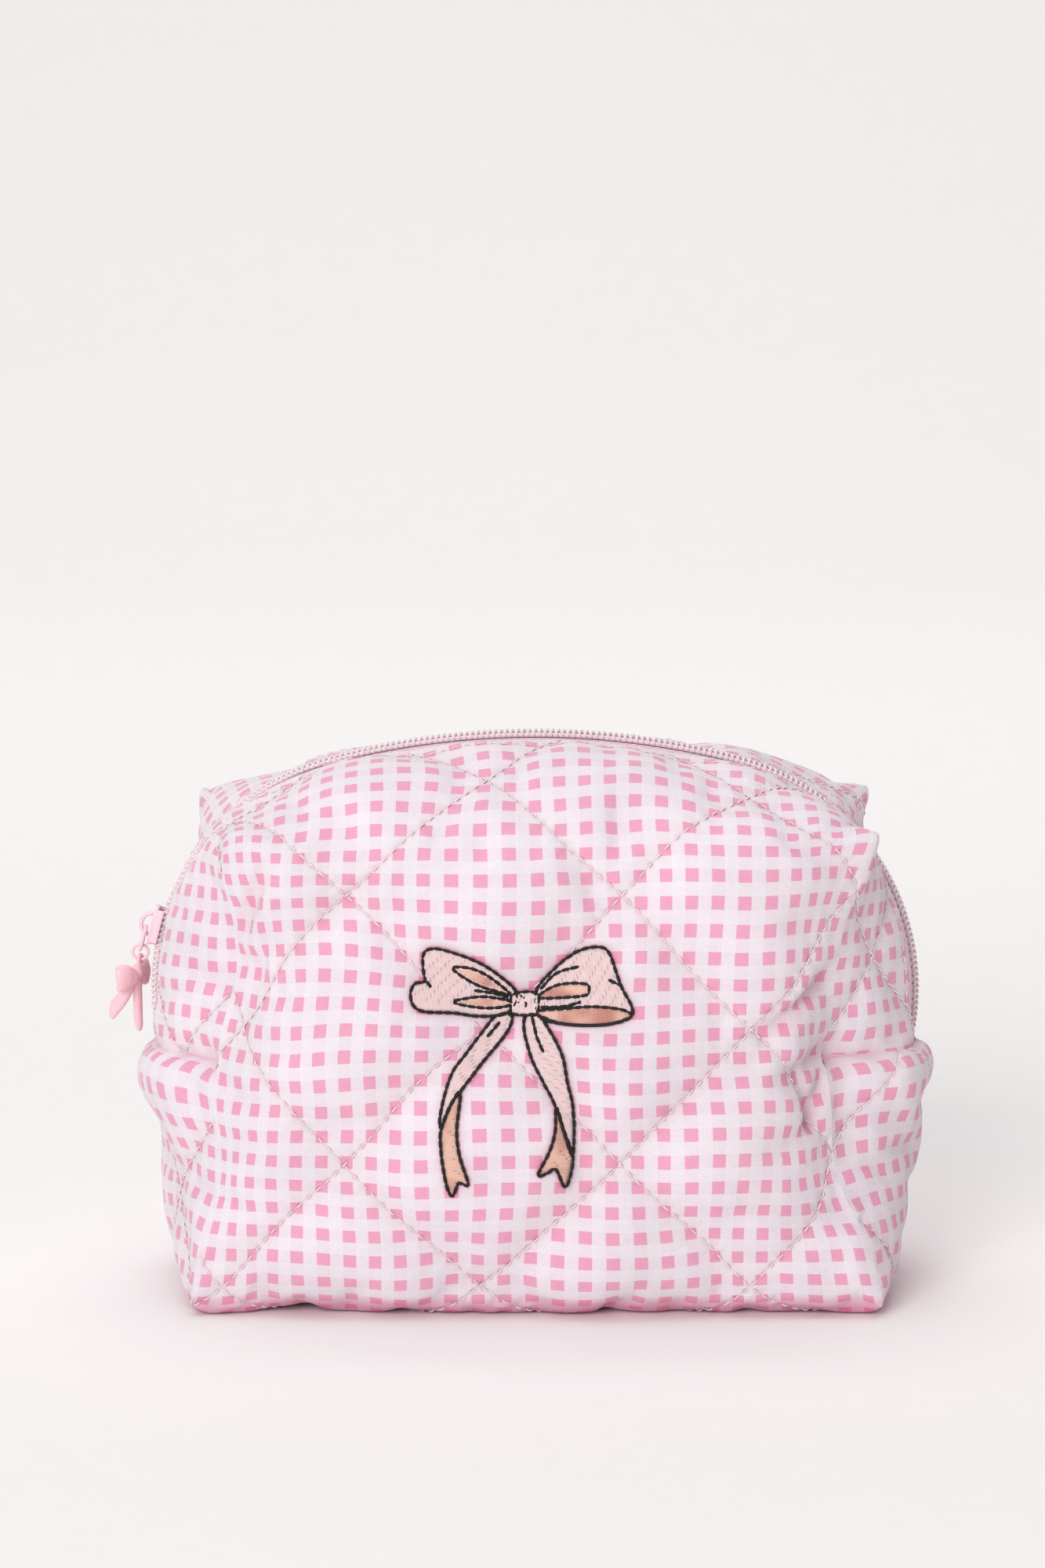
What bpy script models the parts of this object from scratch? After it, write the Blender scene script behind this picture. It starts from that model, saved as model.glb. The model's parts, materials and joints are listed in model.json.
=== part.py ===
"""Quilted, boxy makeup bag with a zip that runs up both ends and over the top.

Frame: metres, +Z up, origin at the centre of the base's underside. The front panel, with the
embroidered bow, faces -Y, and the slider hangs on the left end, at -X.

Every wall is a quilt of three layers: the gingham cover, a sheet of wadding and the lining.
"""

from math import acos, asin, cos, pi, radians, sin, sqrt

import bmesh
import bpy
from mathutils import Matrix, Vector

MM = 0.001

# Outline of the bag.
HALF_WIDTH = 87 * MM  # centre to the vertical seam beside the front panel
HALF_DEPTH = 47 * MM  # centre to the front panel's edge
PANEL_HEIGHT = 121 * MM  # base to the fold where the front turns into the top
SEAM_HEIGHT = 63 * MM  # the seam across each end, where the zip goes in
FRONT_CROWN = 6 * MM  # how far the front and back panels swell
SEAM_DROP = 1.2 * MM  # from the seam to the lower end, whose layers lean up and in
BASE_GAP = 0.3 * MM  # from the floor to the walls round the base
END_FOOT = 3 * MM  # how far an end swells at the base
END_CROWN = 13 * MM  # how far an end swells at its seam
EAR_RADIUS = 8 * MM  # the fold round each boxed top corner
CROWN_POWER = 1.6  # how the top falls away from the zip to the folds

# The zip's line over the bag: a short arc over each top corner and a long arc between them.
CORNER_RADIUS = 61 * MM
CORNER_X = 36 * MM
CORNER_Z = 75 * MM
CORNER_END = radians(75)

# Layers of a quilted wall, from the outside.
COVER = 0.8 * MM
WADDING = 2.2 * MM
LINING = 0.8 * MM
GAP = 0.3 * MM
WALL = COVER + WADDING + LINING + 2 * GAP
WALL_MARGIN = 5 * MM  # how far a wall stops short of the outline where another wall crosses it
BASE_TUCK = 0.6 * MM  # how much further the base reaches under the swollen ends

# Zip.
TAPE = 0.6 * MM
TAPE_DEPTH = COVER + GAP
TAPE_OUT = 13.2 * MM  # tape's outer edge, caught between cover and lining
ZIP_SLIT = 0.8 * MM  # half the gap between the two coils, which the slider's post runs in
COIL_OUT = 2.9 * MM
COIL_TOP = 1.2 * MM  # how far the coil stands above the cover
COIL = TAPE_DEPTH + COIL_TOP - GAP
COVER_EDGE = 7 * MM  # the cover's folded edge beside the zip
LIP_HALF_LENGTH = 74 * MM

# Slider and its charm.
SLIDER_REST = radians(15)  # where the slider stands on the left corner's arc
BLADE_LENGTH = 10.4 * MM
BLADE_WIDTH = 8.6 * MM
BLADE = 1.0 * MM
BLADE_CLEARANCE = 0.5 * MM
BRIDGE_LENGTH = 6.4 * MM
BRIDGE_HEIGHT = 3.1 * MM
BRIDGE_WIDTH = 1.8 * MM
BRIDGE_BAR = 1.2 * MM
LINK_WIRE = 0.45 * MM
LINK_HALF_WIDTH = 1.9 * MM
LINK_LENGTH = 5.6 * MM
RING_WIRE = 0.4 * MM
RING_RADIUS = 1.9 * MM
RING_DROP = 0.85 * MM
EYE_WIRE = 0.45 * MM
EYE_RADIUS = 1.15 * MM
KNOT_DROP = 3.3 * MM

# Seam bindings.
BINDING = 1.0 * MM
BINDING_WIDTH = 3 * MM
BINDING_GAP = 1.2 * MM
BINDING_INSET = 0.035  # share of the front's width between an upright seam and its binding
BINDING_FOOT = 0.06  # share of the front's height below an upright binding
BINDING_HEAD = 0.92  # share of the front's height up to its top
BINDING_END = 0.08  # share of an end's depth left free at either end of its binding

PINK_WHITE = (0.90, 0.78, 0.84)
PINK = (0.91, 0.52, 0.64)
LINING_WHITE = (0.88, 0.84, 0.86)


def clear_scene():
    for obj in list(bpy.data.objects):
        bpy.data.objects.remove(obj)


def new_collection(name):
    collection = bpy.data.collections.new(name)
    bpy.context.scene.collection.children.link(collection)
    return collection


def principled(name, colour, roughness, metallic=0.0):
    material = bpy.data.materials.get(name)
    if material is None:
        material = bpy.data.materials.new(name)
        material.use_nodes = True
        shader = material.node_tree.nodes["Principled BSDF"]
        shader.inputs["Base Color"].default_value = (*colour, 1)
        shader.inputs["Roughness"].default_value = roughness
        shader.inputs["Metallic"].default_value = metallic
    return material


def mix(a, b, share):
    return a + (b - a) * share


def spread(low, high, count):
    """Evenly spaced stations from low to high."""
    return [mix(low, high, k / count) for k in range(count + 1)]


# Surfaces. Each maps two shares, u and v, to a point on the outside of the bag.


def front_surface(u, v):
    x = mix(-HALF_WIDTH, HALF_WIDTH, u)
    z = mix(BASE_GAP, PANEL_HEIGHT, v)
    middle = PANEL_HEIGHT / 2
    swell = (1 - (x / HALF_WIDTH) ** 2) * max(0, 1 - ((z - middle) / middle) ** 2)
    return Vector((x, -HALF_DEPTH - FRONT_CROWN * swell, z))


def back_surface(u, v):
    point = front_surface(u, v)
    return Vector((point.x, -point.y, point.z))


def base_surface(u, v):
    reach = HALF_WIDTH - WALL_MARGIN + BASE_TUCK
    side = HALF_DEPTH - WALL_MARGIN
    return Vector((mix(-reach, reach, u), mix(-side, side, v), 0))


def lower_end(side):
    def surface(u, v):
        y = mix(-1, 1, u) * (HALF_DEPTH - WALL_MARGIN)
        z = mix(BASE_GAP, SEAM_HEIGHT - SEAM_DROP, v)
        swell = mix(END_FOOT, END_CROWN, z / SEAM_HEIGHT) * (1 - (y / HALF_DEPTH) ** 2)
        return Vector((side * (HALF_WIDTH + swell), y, z))

    return surface


def zip_height(x):
    """Height of the zip's line above a point of the top."""
    reach = abs(x)
    joint = CORNER_X + CORNER_RADIUS * cos(CORNER_END)
    if reach > joint:
        return CORNER_Z + sqrt(CORNER_RADIUS**2 - (reach - CORNER_X) ** 2)
    radius = joint / cos(CORNER_END)
    centre = CORNER_Z + CORNER_RADIUS * sin(CORNER_END) - radius * sin(CORNER_END)
    return centre + sqrt(radius**2 - reach**2)


def end_zip_point(u):
    """The zip's line up an end, as x and z, from the seam to where the lips begin."""
    foot = asin((SEAM_HEIGHT + GAP - CORNER_Z) / CORNER_RADIUS)
    head = acos((LIP_HALF_LENGTH + GAP - CORNER_X) / CORNER_RADIUS)
    angle = mix(foot, head, u)
    return CORNER_X + CORNER_RADIUS * cos(angle), CORNER_Z + CORNER_RADIUS * sin(angle)


def end_fold_point(u):
    """The vertical seam, the boxed corner and the start of the top fold, as x and z."""
    rise = PANEL_HEIGHT - EAR_RADIUS - SEAM_HEIGHT - GAP
    bend = EAR_RADIUS * pi / 2
    run = HALF_WIDTH - EAR_RADIUS - LIP_HALF_LENGTH - GAP
    distance = u * (rise + bend + run)
    if distance < rise:
        return HALF_WIDTH, SEAM_HEIGHT + GAP + distance
    if distance < rise + bend:
        angle = (distance - rise) / EAR_RADIUS
        corner = (HALF_WIDTH - EAR_RADIUS, PANEL_HEIGHT - EAR_RADIUS)
        return corner[0] + EAR_RADIUS * cos(angle), corner[1] + EAR_RADIUS * sin(angle)
    return HALF_WIDTH - EAR_RADIUS - (distance - rise - bend), PANEL_HEIGHT


def fall(y):
    """Share of the way from the zip's line to the fold at this distance from the zip."""
    return (abs(y) / HALF_DEPTH) ** CROWN_POWER


def upper_end(side, half):
    """Half of an upper end. half is -1 at the front, and v is 0 at the zip and 1 at the fold."""

    def surface(u, v):
        y = v * HALF_DEPTH
        zip_x, zip_z = end_zip_point(u)
        fold_x, fold_z = end_fold_point(u)
        share = fall(y)
        return Vector((side * mix(zip_x, fold_x, share), half * y, mix(zip_z, fold_z, share)))

    return surface


def lip(half):
    """Half of the top between the two ends. v is 0 at the zip and 1 at the fold."""

    def surface(u, v):
        x = mix(-LIP_HALF_LENGTH, LIP_HALF_LENGTH, u)
        y = v * HALF_DEPTH
        return Vector((x, half * y, mix(zip_height(x), PANEL_HEIGHT, fall(y))))

    return surface


def outward_normal(surface, u, v):
    step = 1e-3
    across = surface(u + step, v) - surface(u - step, v)
    along = surface(u, v + step) - surface(u, v - step)
    normal = across.cross(along).normalized()
    heart = Vector((0, 0, PANEL_HEIGHT / 2))
    return normal if normal.dot(surface(u, v) - heart) > 0 else -normal


def layer(name, surface, us, vs, depth, thickness, material):
    """A sheet whose outer face lies at a depth below a surface, on the given stations."""
    mesh = bpy.data.meshes.new(name)
    work = bmesh.new()
    columns, rows = len(us) - 1, len(vs) - 1
    bmesh.ops.create_grid(work, x_segments=columns, y_segments=rows, size=0.5)
    for vert in work.verts:
        u = us[round((vert.co.x + 0.5) * columns)]
        v = vs[round((vert.co.y + 0.5) * rows)]
        vert.co = surface(u, v) - outward_normal(surface, u, v) * depth
    work.normal_update()
    work.faces.ensure_lookup_table()
    first = outward_normal(surface, (us[0] + us[1]) / 2, (vs[0] + vs[1]) / 2)
    if work.faces[0].normal.dot(first) < 0:
        bmesh.ops.reverse_faces(work, faces=work.faces)
    work.to_mesh(mesh)
    work.free()
    obj = bpy.data.objects.new(name, mesh)
    PARTS.objects.link(obj)
    obj.data.materials.append(material)
    solidify = obj.modifiers.new("thickness", "SOLIDIFY")
    solidify.thickness = thickness
    solidify.offset = -1
    return obj


def quilted(name, surface, us, cover_vs, padding_vs=None):
    """The three layers of one quilted wall. The zip's tape lies between cover and lining."""
    cover = principled("gingham_cover", PINK_WHITE, 0.85)
    wadding = principled("wadding", (0.93, 0.93, 0.92), 0.95)
    lining = principled("lining", LINING_WHITE, 0.7)
    padding_vs = padding_vs or cover_vs
    lining_depth = COVER + WADDING + 2 * GAP
    return [
        layer(name, surface, us, cover_vs, 0, COVER, cover),
        layer(name + "_wadding", surface, us, padding_vs, COVER + GAP, WADDING, wadding),
        layer(name + "_lining", surface, us, cover_vs, lining_depth, LINING, lining),
    ]


def top_stations():
    """Shares from the zip to the fold where the tape, the cover and the wadding have edges."""
    padding = spread(TAPE_OUT + GAP, HALF_DEPTH - WALL_MARGIN, 4)
    cover = [COVER_EDGE, TAPE_OUT, *padding]
    tape = [ZIP_SLIT, COIL_OUT, COVER_EDGE, TAPE_OUT]
    return [[y / HALF_DEPTH for y in line] for line in (padding, cover, tape)]


def zip_half(prefix, suffix, surface, us):
    """The tape and the coil of one side of a stretch of zip."""
    tape_material = principled("zip_tape", PINK, 0.8)
    coil_material = principled("zip_coil", PINK, 0.35)
    tape_vs = top_stations()[2]
    names = [f"{prefix}zip_{kind}_{suffix}" for kind in ("tape", "coil")]
    return [
        layer(names[0], surface, us, tape_vs, TAPE_DEPTH, TAPE, tape_material),
        layer(names[1], surface, us, tape_vs[:2], -COIL_TOP, COIL, coil_material),
    ]


def pivot(name, location):
    empty = bpy.data.objects.new(name, None)
    empty.location = location
    PARTS.objects.link(empty)
    return empty


def hang_on(empty, objects):
    """Parents the objects to a joint's empty and leaves them where they are."""
    bpy.context.view_layer.update()
    for obj in objects:
        obj.parent = empty
        obj.matrix_parent_inverse = empty.matrix_world.inverted()


def mesh_object(name, work, material, collection=None):
    mesh = bpy.data.meshes.new(name)
    work.to_mesh(mesh)
    work.free()
    obj = bpy.data.objects.new(name, mesh)
    (collection or PARTS).objects.link(obj)
    obj.data.materials.append(material)
    return obj


def block(work, low, high):
    """Adds a box between two corners."""
    size = [high[k] - low[k] for k in range(3)]
    centre = [(high[k] + low[k]) / 2 for k in range(3)]
    place = Matrix.Translation(centre) @ Matrix.Diagonal((*size, 1))
    bmesh.ops.create_cube(work, size=1, matrix=place)


def helper(name, work, material):
    """A piece that a Boolean joins or cuts with, which isn't a part."""
    obj = mesh_object(name, work, material, CUTTERS)
    obj.hide_render = True
    obj.display_type = "WIRE"
    return obj


def boolean(obj, other, operation):
    modifier = obj.modifiers.new(operation.lower(), "BOOLEAN")
    modifier.operation = operation
    modifier.object = other


def walls():
    """Every quilted wall that stays put."""
    padding_vs, cover_vs, _ = top_stations()
    quilted("front_panel", front_surface, spread(0, 1, 8), spread(0, 1, 6))
    quilted("back_panel", back_surface, spread(0, 1, 8), spread(0, 1, 6))
    quilted("base_panel", base_surface, (0, 1), (0, 1))
    for side, end in ((-1, "left"), (1, "right")):
        quilted(f"{end}_end_lower", lower_end(side), spread(0, 1, 6), spread(0, 1, 3))
        for half, face in ((-1, "front"), (1, "back")):
            surface = upper_end(side, half)
            us = spread(0, 1, 9)
            quilted(f"{end}_end_{face}", surface, us, cover_vs, padding_vs)
            zip_half(f"{end}_", face, surface, us)


def bindings():
    """Tape bound round the raw edges of the seams, inside the bag."""
    material = principled("seam_binding", PINK, 0.8)
    inside = WALL + BINDING_GAP
    width = BINDING_WIDTH / (2 * HALF_WIDTH)
    for face, surface in (("front", front_surface), ("back", back_surface)):
        for end, start in (("left", BINDING_INSET), ("right", 1 - BINDING_INSET - width)):
            name = f"{end}_{face}_seam_binding"
            us = (start, start + width)
            vs = spread(BINDING_FOOT, BINDING_HEAD, 6)
            layer(name, surface, us, vs, inside, BINDING, material)
    us = spread(BINDING_END, 1 - BINDING_END, 6)
    vs = (1 - BINDING_WIDTH / SEAM_HEIGHT, 1)
    for side, end in ((-1, "left"), (1, "right")):
        name = f"{end}_end_seam_binding"
        layer(name, lower_end(side), us, vs, inside, BINDING, material)


def lips():
    """The two halves of the top, which fold back from the zip once it is open."""
    padding_vs, cover_vs, _ = top_stations()
    us = spread(0, 1, 12)
    for half, face in ((-1, "front"), (1, "back")):
        pieces = quilted(f"{face}_lip", lip(half), us, cover_vs, padding_vs)
        pieces += zip_half("", face, lip(half), us)
        fold = (0, half * (HALF_DEPTH - WALL / 2), PANEL_HEIGHT + GAP)
        hang_on(pivot(f"{face}_lip_fold", fold), pieces)


# The embroidered bow's outline on the front panel, right half first, as x and z from the knot's
# centre. Each list is one smooth edge.
BOW_CENTRE = (-2.5 * MM, 79 * MM)
RIGHT_LOOP = (
    (3, 2.6), (9, 8.5), (17, 13), (21.5, 12), (24, 5), (27, -2.5), (24, -6), (14, -6.5), (4, -3.5),
)
RIGHT_TAIL = ((4, -3.5), (8.5, -14), (10.5, -26), (10.5, -38), (8.5, -43.5))
RIGHT_NOTCH = (
    (8.5, -43.5), (6.5, -39), (2, -41.5), (5.5, -34), (6.6, -27), (3, -17), (1, -4.5),
)
LEFT_TAIL = ((-3, -4), (-8, -14), (-13.5, -22), (-14.8, -32), (-12.5, -39))
LEFT_NOTCH = (
    (-12.5, -39), (-15, -38.5), (-17, -44), (-20.3, -32), (-19.5, -20), (-12, -10), (-7.5, -4),
)
LEFT_LOOP = (
    (-7.5, -4), (-16, -4.5), (-24, -3.5), (-27, -1), (-24.5, 5), (-23.5, 12), (-15, 11), (-8, 7),
    (-3, 2.6),
)


def smooth(points, steps=4):
    """A Catmull-Rom curve through the points, without its last one."""
    ends = [points[0], *points, points[-1]]
    curve = []
    for a, b, c, d in zip(ends, ends[1:], ends[2:], ends[3:]):
        for k in range(steps):
            t = k / steps
            curve.append(
                tuple(
                    0.5
                    * (
                        2 * q
                        + (r - p) * t
                        + (2 * p - 5 * q + 4 * r - s) * t**2
                        + (3 * q - p - 3 * r + s) * t**3
                    )
                    for p, q, r, s in zip(a, b, c, d)
                )
            )
    return curve


def embroidery():
    """The embroidered bow as one raised patch that follows the front panel."""
    thread = principled("bow_thread", (0.93, 0.72, 0.68), 0.5)
    stand_off = GAP
    raised = 0.7 * MM
    us, vs = spread(0, 1, 16), spread(0, 1, 12)
    patch = layer("embroidered_bow", front_surface, us, vs, -stand_off - raised, raised, thread)
    outline = []
    for edge in (RIGHT_LOOP, RIGHT_TAIL, RIGHT_NOTCH, LEFT_TAIL, LEFT_NOTCH, LEFT_LOOP):
        outline += smooth(edge, 2)
    work = bmesh.new()
    corners = [
        work.verts.new((BOW_CENTRE[0] + x * MM, -2 * HALF_DEPTH, BOW_CENTRE[1] + z * MM))
        for x, z in outline
    ]
    flat = work.faces.new(corners)
    made = bmesh.ops.extrude_face_region(work, geom=[flat])
    moved = [item for item in made["geom"] if isinstance(item, bmesh.types.BMVert)]
    bmesh.ops.translate(work, verts=moved, vec=(0, 2 * HALF_DEPTH, 0))
    bmesh.ops.recalc_face_normals(work, faces=work.faces)
    boolean(patch, helper("bow_outline", work, thread), "INTERSECT")


def slider_matrix(out, up):
    """A place on the slider: out is the distance above the cover, up the distance along the zip."""
    turn = Matrix.Rotation(SLIDER_REST, 4, "Y")
    radius = CORNER_RADIUS
    centre = Matrix.Translation((-CORNER_X, 0, CORNER_Z))
    return centre @ turn @ Matrix.Translation((-radius - out, 0, up))


def slider():
    """The slider's two blades, the post between them, its side walls and its bridge."""
    metal = principled("slider_enamel", (0.93, 0.62, 0.72), 0.3)
    work = bmesh.new()
    length, width = BLADE_LENGTH / 2, BLADE_WIDTH / 2
    top = COIL_TOP + BLADE_CLEARANCE
    under = TAPE_DEPTH + TAPE + BLADE_CLEARANCE
    side_wall = 0.8 * MM
    post = 0.4 * MM
    post_length = 3 * MM
    narrower = 0.4 * MM  # how much further in the lower blade's edges are
    bite = 0.2 * MM  # how far the joined blocks run into each other
    block(work, (-top - BLADE, -width, -length), (-top, width, length))
    body = mesh_object("slider_body", work, metal)
    joined = [
        ((under, narrower - width, -length), (under + BLADE, width - narrower, length)),
        ((-top - bite, -post, -length), (under + bite, post, post_length - length)),
        ((-top - bite, width - side_wall, -length), (0, width, length)),
        ((-top - bite, -width, -length), (0, -width + side_wall, length)),
    ]
    face = -top - BLADE
    half = BRIDGE_LENGTH / 2
    reach = face - BRIDGE_HEIGHT
    for low, high in ((-half, -half + BRIDGE_BAR), (half - BRIDGE_BAR, half)):
        joined.append(
            ((reach + bite, -BRIDGE_WIDTH / 2, low), (face + bite, BRIDGE_WIDTH / 2, high))
        )
    joined.append(
        ((reach, -BRIDGE_WIDTH / 2, -half), (reach + BRIDGE_BAR, BRIDGE_WIDTH / 2, half))
    )
    pieces = [body]
    for index, (low, high) in enumerate(joined):
        work = bmesh.new()
        block(work, low, high)
        piece = helper(f"slider_block_{index}", work, metal)
        boolean(body, piece, "UNION")
        pieces.append(piece)
    for piece in pieces:
        piece.matrix_world = slider_matrix(0, 0)
    hang_on(pivot("slider_arc_centre", (-CORNER_X, 0, CORNER_Z)), pieces)
    return -reach - BRIDGE_BAR - GAP - LINK_WIRE, half - BRIDGE_BAR - GAP - LINK_WIRE


def wire(name, points, radius, material):
    """A closed loop of round wire."""
    curve = bpy.data.curves.new(name, "CURVE")
    curve.dimensions = "3D"
    curve.bevel_depth = radius
    curve.bevel_resolution = 2
    spline = curve.splines.new("POLY")
    spline.points.add(len(points) - 1)
    for place, point in zip(spline.points, points):
        place.co = (*point, 1)
    spline.use_cyclic_u = True
    obj = bpy.data.objects.new(name, curve)
    PARTS.objects.link(obj)
    curve.materials.append(material)
    return obj


def stadium(half_width, length, turns=6):
    """An upright rounded loop in the YZ plane, its top bar through the origin."""
    points = []
    bend = 0.9 * MM
    corners = ((1, -bend, 0), (-1, -bend, 90), (-1, bend - length, 180), (1, bend - length, 270))
    for side, z, start in corners:
        for step in range(turns // 2 + 1):
            angle = radians(start + 90 * step / (turns // 2))
            y = side * (half_width - bend)
            points.append((0, y + bend * cos(angle), z + bend * sin(angle)))
    return points


def torus(name, radius, wire_radius, turn, material):
    """A ring of round wire, turned from lying flat."""
    bpy.ops.mesh.primitive_torus_add(
        major_segments=16, minor_segments=8, major_radius=radius, minor_radius=wire_radius
    )
    ring = bpy.context.object
    ring.name = name
    ring.data.transform(turn)
    ring.data.materials.append(material)
    for collection in ring.users_collection:
        collection.objects.unlink(ring)
    PARTS.objects.link(ring)
    return ring


def ellipsoid(work, centre, size, turn):
    place = Matrix.Translation(centre) @ turn @ Matrix.Diagonal((*size, 1))
    bmesh.ops.create_uvsphere(work, u_segments=12, v_segments=7, radius=1, matrix=place)


def charm(link_out, link_up):
    """The link on the slider's bridge, the ring in it and the bow on the ring."""
    metal = principled("slider_enamel", (0.93, 0.62, 0.72), 0.3)
    soft = principled("charm_enamel", (0.94, 0.64, 0.72), 0.45)
    link = wire("pull_link", stadium(LINK_HALF_WIDTH, LINK_LENGTH), LINK_WIRE, metal)
    link.matrix_world = slider_matrix(link_out, -link_up)
    hang_on(pivot("link_pivot", link.matrix_world.translation), [link])

    foot = link.matrix_world @ Vector((0, 0, -LINK_LENGTH))
    ring = torus("charm_ring", RING_RADIUS, RING_WIRE, Matrix.Rotation(pi / 2, 4, "X"), metal)
    ring.location = foot - Vector((0, 0, RING_DROP))
    hang_on(pivot("ring_pivot", foot), [ring])

    eye = ring.location - Vector((0, 0, RING_RADIUS))
    bow = torus("bow_charm", EYE_RADIUS, EYE_WIRE, Matrix.Rotation(pi / 2, 4, "Y"), soft)
    bow.location = eye
    pieces = [bow]
    for index, shape in enumerate(bow_lobes()):
        work = bmesh.new()
        ellipsoid(work, *shape)
        piece = helper(f"bow_lobe_{index}", work, soft)
        piece.location = eye
        boolean(bow, piece, "UNION")
        pieces.append(piece)
    hang_on(pivot("bow_pivot", eye), pieces)


def bow_lobes():
    """Centre, half sizes and turn of the knot, the loops and the tails, from the eye down."""

    def turned(about_z, about_x, about_y=0):
        return (
            Matrix.Rotation(radians(about_z), 4, "Z")
            @ Matrix.Rotation(radians(about_x), 4, "X")
            @ Matrix.Rotation(radians(about_y), 4, "Y")
        )

    flat = 1.3 * MM
    return (
        ((0, 0, -KNOT_DROP), (1.3 * MM, 2.2 * MM, 2.4 * MM), turned(0, 0)),
        ((-1.6 * MM, -4.4 * MM, -KNOT_DROP - 1 * MM), (flat, 4.6 * MM, 3.2 * MM), turned(-22, 20)),
        ((-0.5 * MM, 4.4 * MM, -KNOT_DROP - 1 * MM), (flat, 4.6 * MM, 3.2 * MM), turned(7, -20)),
        ((-2.6 * MM, -2.6 * MM, -10.5 * MM), (flat, 2.0 * MM, 7.4 * MM), turned(0, -14, 24)),
        ((-0.4 * MM, 2.2 * MM, -10.6 * MM), (flat, 2.0 * MM, 7.2 * MM), turned(0, 14, 0)),
    )


clear_scene()
PARTS = new_collection("makeup_bag")
CUTTERS = new_collection("cutters")
walls()
bindings()
lips()
embroidery()
charm(*slider())
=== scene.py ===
"""Looks of the quilted gingham makeup bag: cloth, stitching, embroidery, zip and charm.

The cloth is one tube of quilted gingham, as it was sewn: base, front, top strips and back in one
sheet. Every point of it has a whole-number place (column, row) on the flat cloth, and the
quilting and the check both follow those places over folds and round corners.
"""

import json
from functools import partial
from itertools import product
from math import asin, atan2, ceil, cos, hypot, pi, radians, sin

import bmesh
import bpy
import numpy as np
from mathutils import Matrix, Vector, noise
from mathutils.bvhtree import BVHTree
from mathutils.geometry import delaunay_2d_cdt


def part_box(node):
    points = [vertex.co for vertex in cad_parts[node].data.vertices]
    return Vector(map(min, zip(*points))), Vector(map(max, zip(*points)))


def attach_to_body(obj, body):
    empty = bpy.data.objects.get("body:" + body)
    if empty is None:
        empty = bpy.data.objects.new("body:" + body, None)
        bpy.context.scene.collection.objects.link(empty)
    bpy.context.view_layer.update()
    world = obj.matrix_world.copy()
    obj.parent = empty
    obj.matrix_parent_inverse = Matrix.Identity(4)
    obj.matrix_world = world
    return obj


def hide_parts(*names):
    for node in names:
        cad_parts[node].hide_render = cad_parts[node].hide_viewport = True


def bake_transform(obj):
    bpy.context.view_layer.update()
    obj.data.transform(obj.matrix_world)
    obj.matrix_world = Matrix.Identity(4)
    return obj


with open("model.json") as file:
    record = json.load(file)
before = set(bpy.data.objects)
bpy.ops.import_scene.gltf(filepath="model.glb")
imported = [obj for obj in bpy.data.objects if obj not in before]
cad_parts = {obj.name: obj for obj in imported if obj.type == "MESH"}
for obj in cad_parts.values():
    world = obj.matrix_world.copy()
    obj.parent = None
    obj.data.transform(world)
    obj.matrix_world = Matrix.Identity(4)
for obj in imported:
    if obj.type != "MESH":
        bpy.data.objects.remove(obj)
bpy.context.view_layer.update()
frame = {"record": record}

MM = 0.001
SIDES = {"front": -1, "back": 1}  # which way each face of the bag looks along Y
JOINTS = {joint["name"]: Vector(joint["pos_m"]) for joint in frame["record"]["behaviour"]["joints"]}

# The bag's outline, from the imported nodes.
COVER = 0.8 * MM
WALL = 4.4 * MM  # cover, wadding and lining together
HALF_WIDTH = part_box("front_panel")[1][0]
HALF_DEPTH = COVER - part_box("front_panel")[1][1]
FOLD_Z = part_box("front_panel")[1][2]
SEAM_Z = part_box("left_end_lower")[1][2] + 1.2 * MM
FRONT_CROWN = 5.5 * MM
CROWN_POWER = 1.6

# The lower ends: how far they lean out at the foot and at the roll, and where the roll starts.
END_FOOT = 3 * MM
END_CROWN = 13.5 * MM
ROLL_START = 0.86  # share of the lower end's height where its top edge rolls in

# The zip's line: an arc over each top corner and a flatter arc between them.
CORNER_RADIUS = 61 * MM
CORNER_X = 36 * MM
CORNER_Z = 75 * MM
CORNER_START = radians(15)
CROWN_RADIUS = (CORNER_X + CORNER_RADIUS * sin(CORNER_START)) / sin(CORNER_START)
CROWN_HALF = CROWN_RADIUS * CORNER_START
CROWN_CENTRE_Z = CORNER_Z + (CORNER_RADIUS - CROWN_RADIUS) * cos(CORNER_START)

# The flat cloth's grid, in cells.
CELL = 2.54 * MM
COLUMNS = 68  # across the front
ROWS_BELOW = 25  # from the base to the end seam
ROWS_ABOVE = 23  # from the end seam to the top fold
ROWS = ROWS_BELOW + ROWS_ABOVE
BASE_ROWS = 36  # across the base
TOP_ROWS = 15  # from the top fold to the cover's edge beside the zip
QUILT = 26  # cells between neighbouring parallel quilting lines, along a row
QUILT_FALLING = 6  # column + row on a falling line, modulo QUILT
REPEAT = 6.35 * MM  # an eighth-inch gingham: its repeat is two checks

# Where the cells of each grid are on the flat cloth.
FLAT = {
    "front": lambda i, j: (i, j),
    "back": lambda i, j: (i, -BASE_ROWS - j),
    "front_top": lambda i, j: (i - ROWS_ABOVE, ROWS + j),
    "back_top": lambda i, j: (i - ROWS_ABOVE, -BASE_ROWS - ROWS - j),
    "base": lambda i, j: (i, -j),
    "end-1": lambda i, j: (-i, -j),
    "end1": lambda i, j: (COLUMNS + i, -j),
}
# The hem beside the zip turns under: how far out and how far down its rows lie.
HEM = ((0, 0), (-0.5 * MM, 0.6 * MM), (1.2 * MM, 1.1 * MM))

# The mouth: where along the zip it starts to open, and where it is wide open.
MOUTH_SHUT = 84 * MM
MOUTH_WIDE = 18 * MM


def mix(a, b, share):
    return a + (b - a) * share


def clamp(value, low=0.0, high=1.0):
    return max(low, min(high, value))


def smoothstep(value):
    value = clamp(value)
    return value * value * (3 - 2 * value)


# ---------------------------------------------------------------- materials


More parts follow.
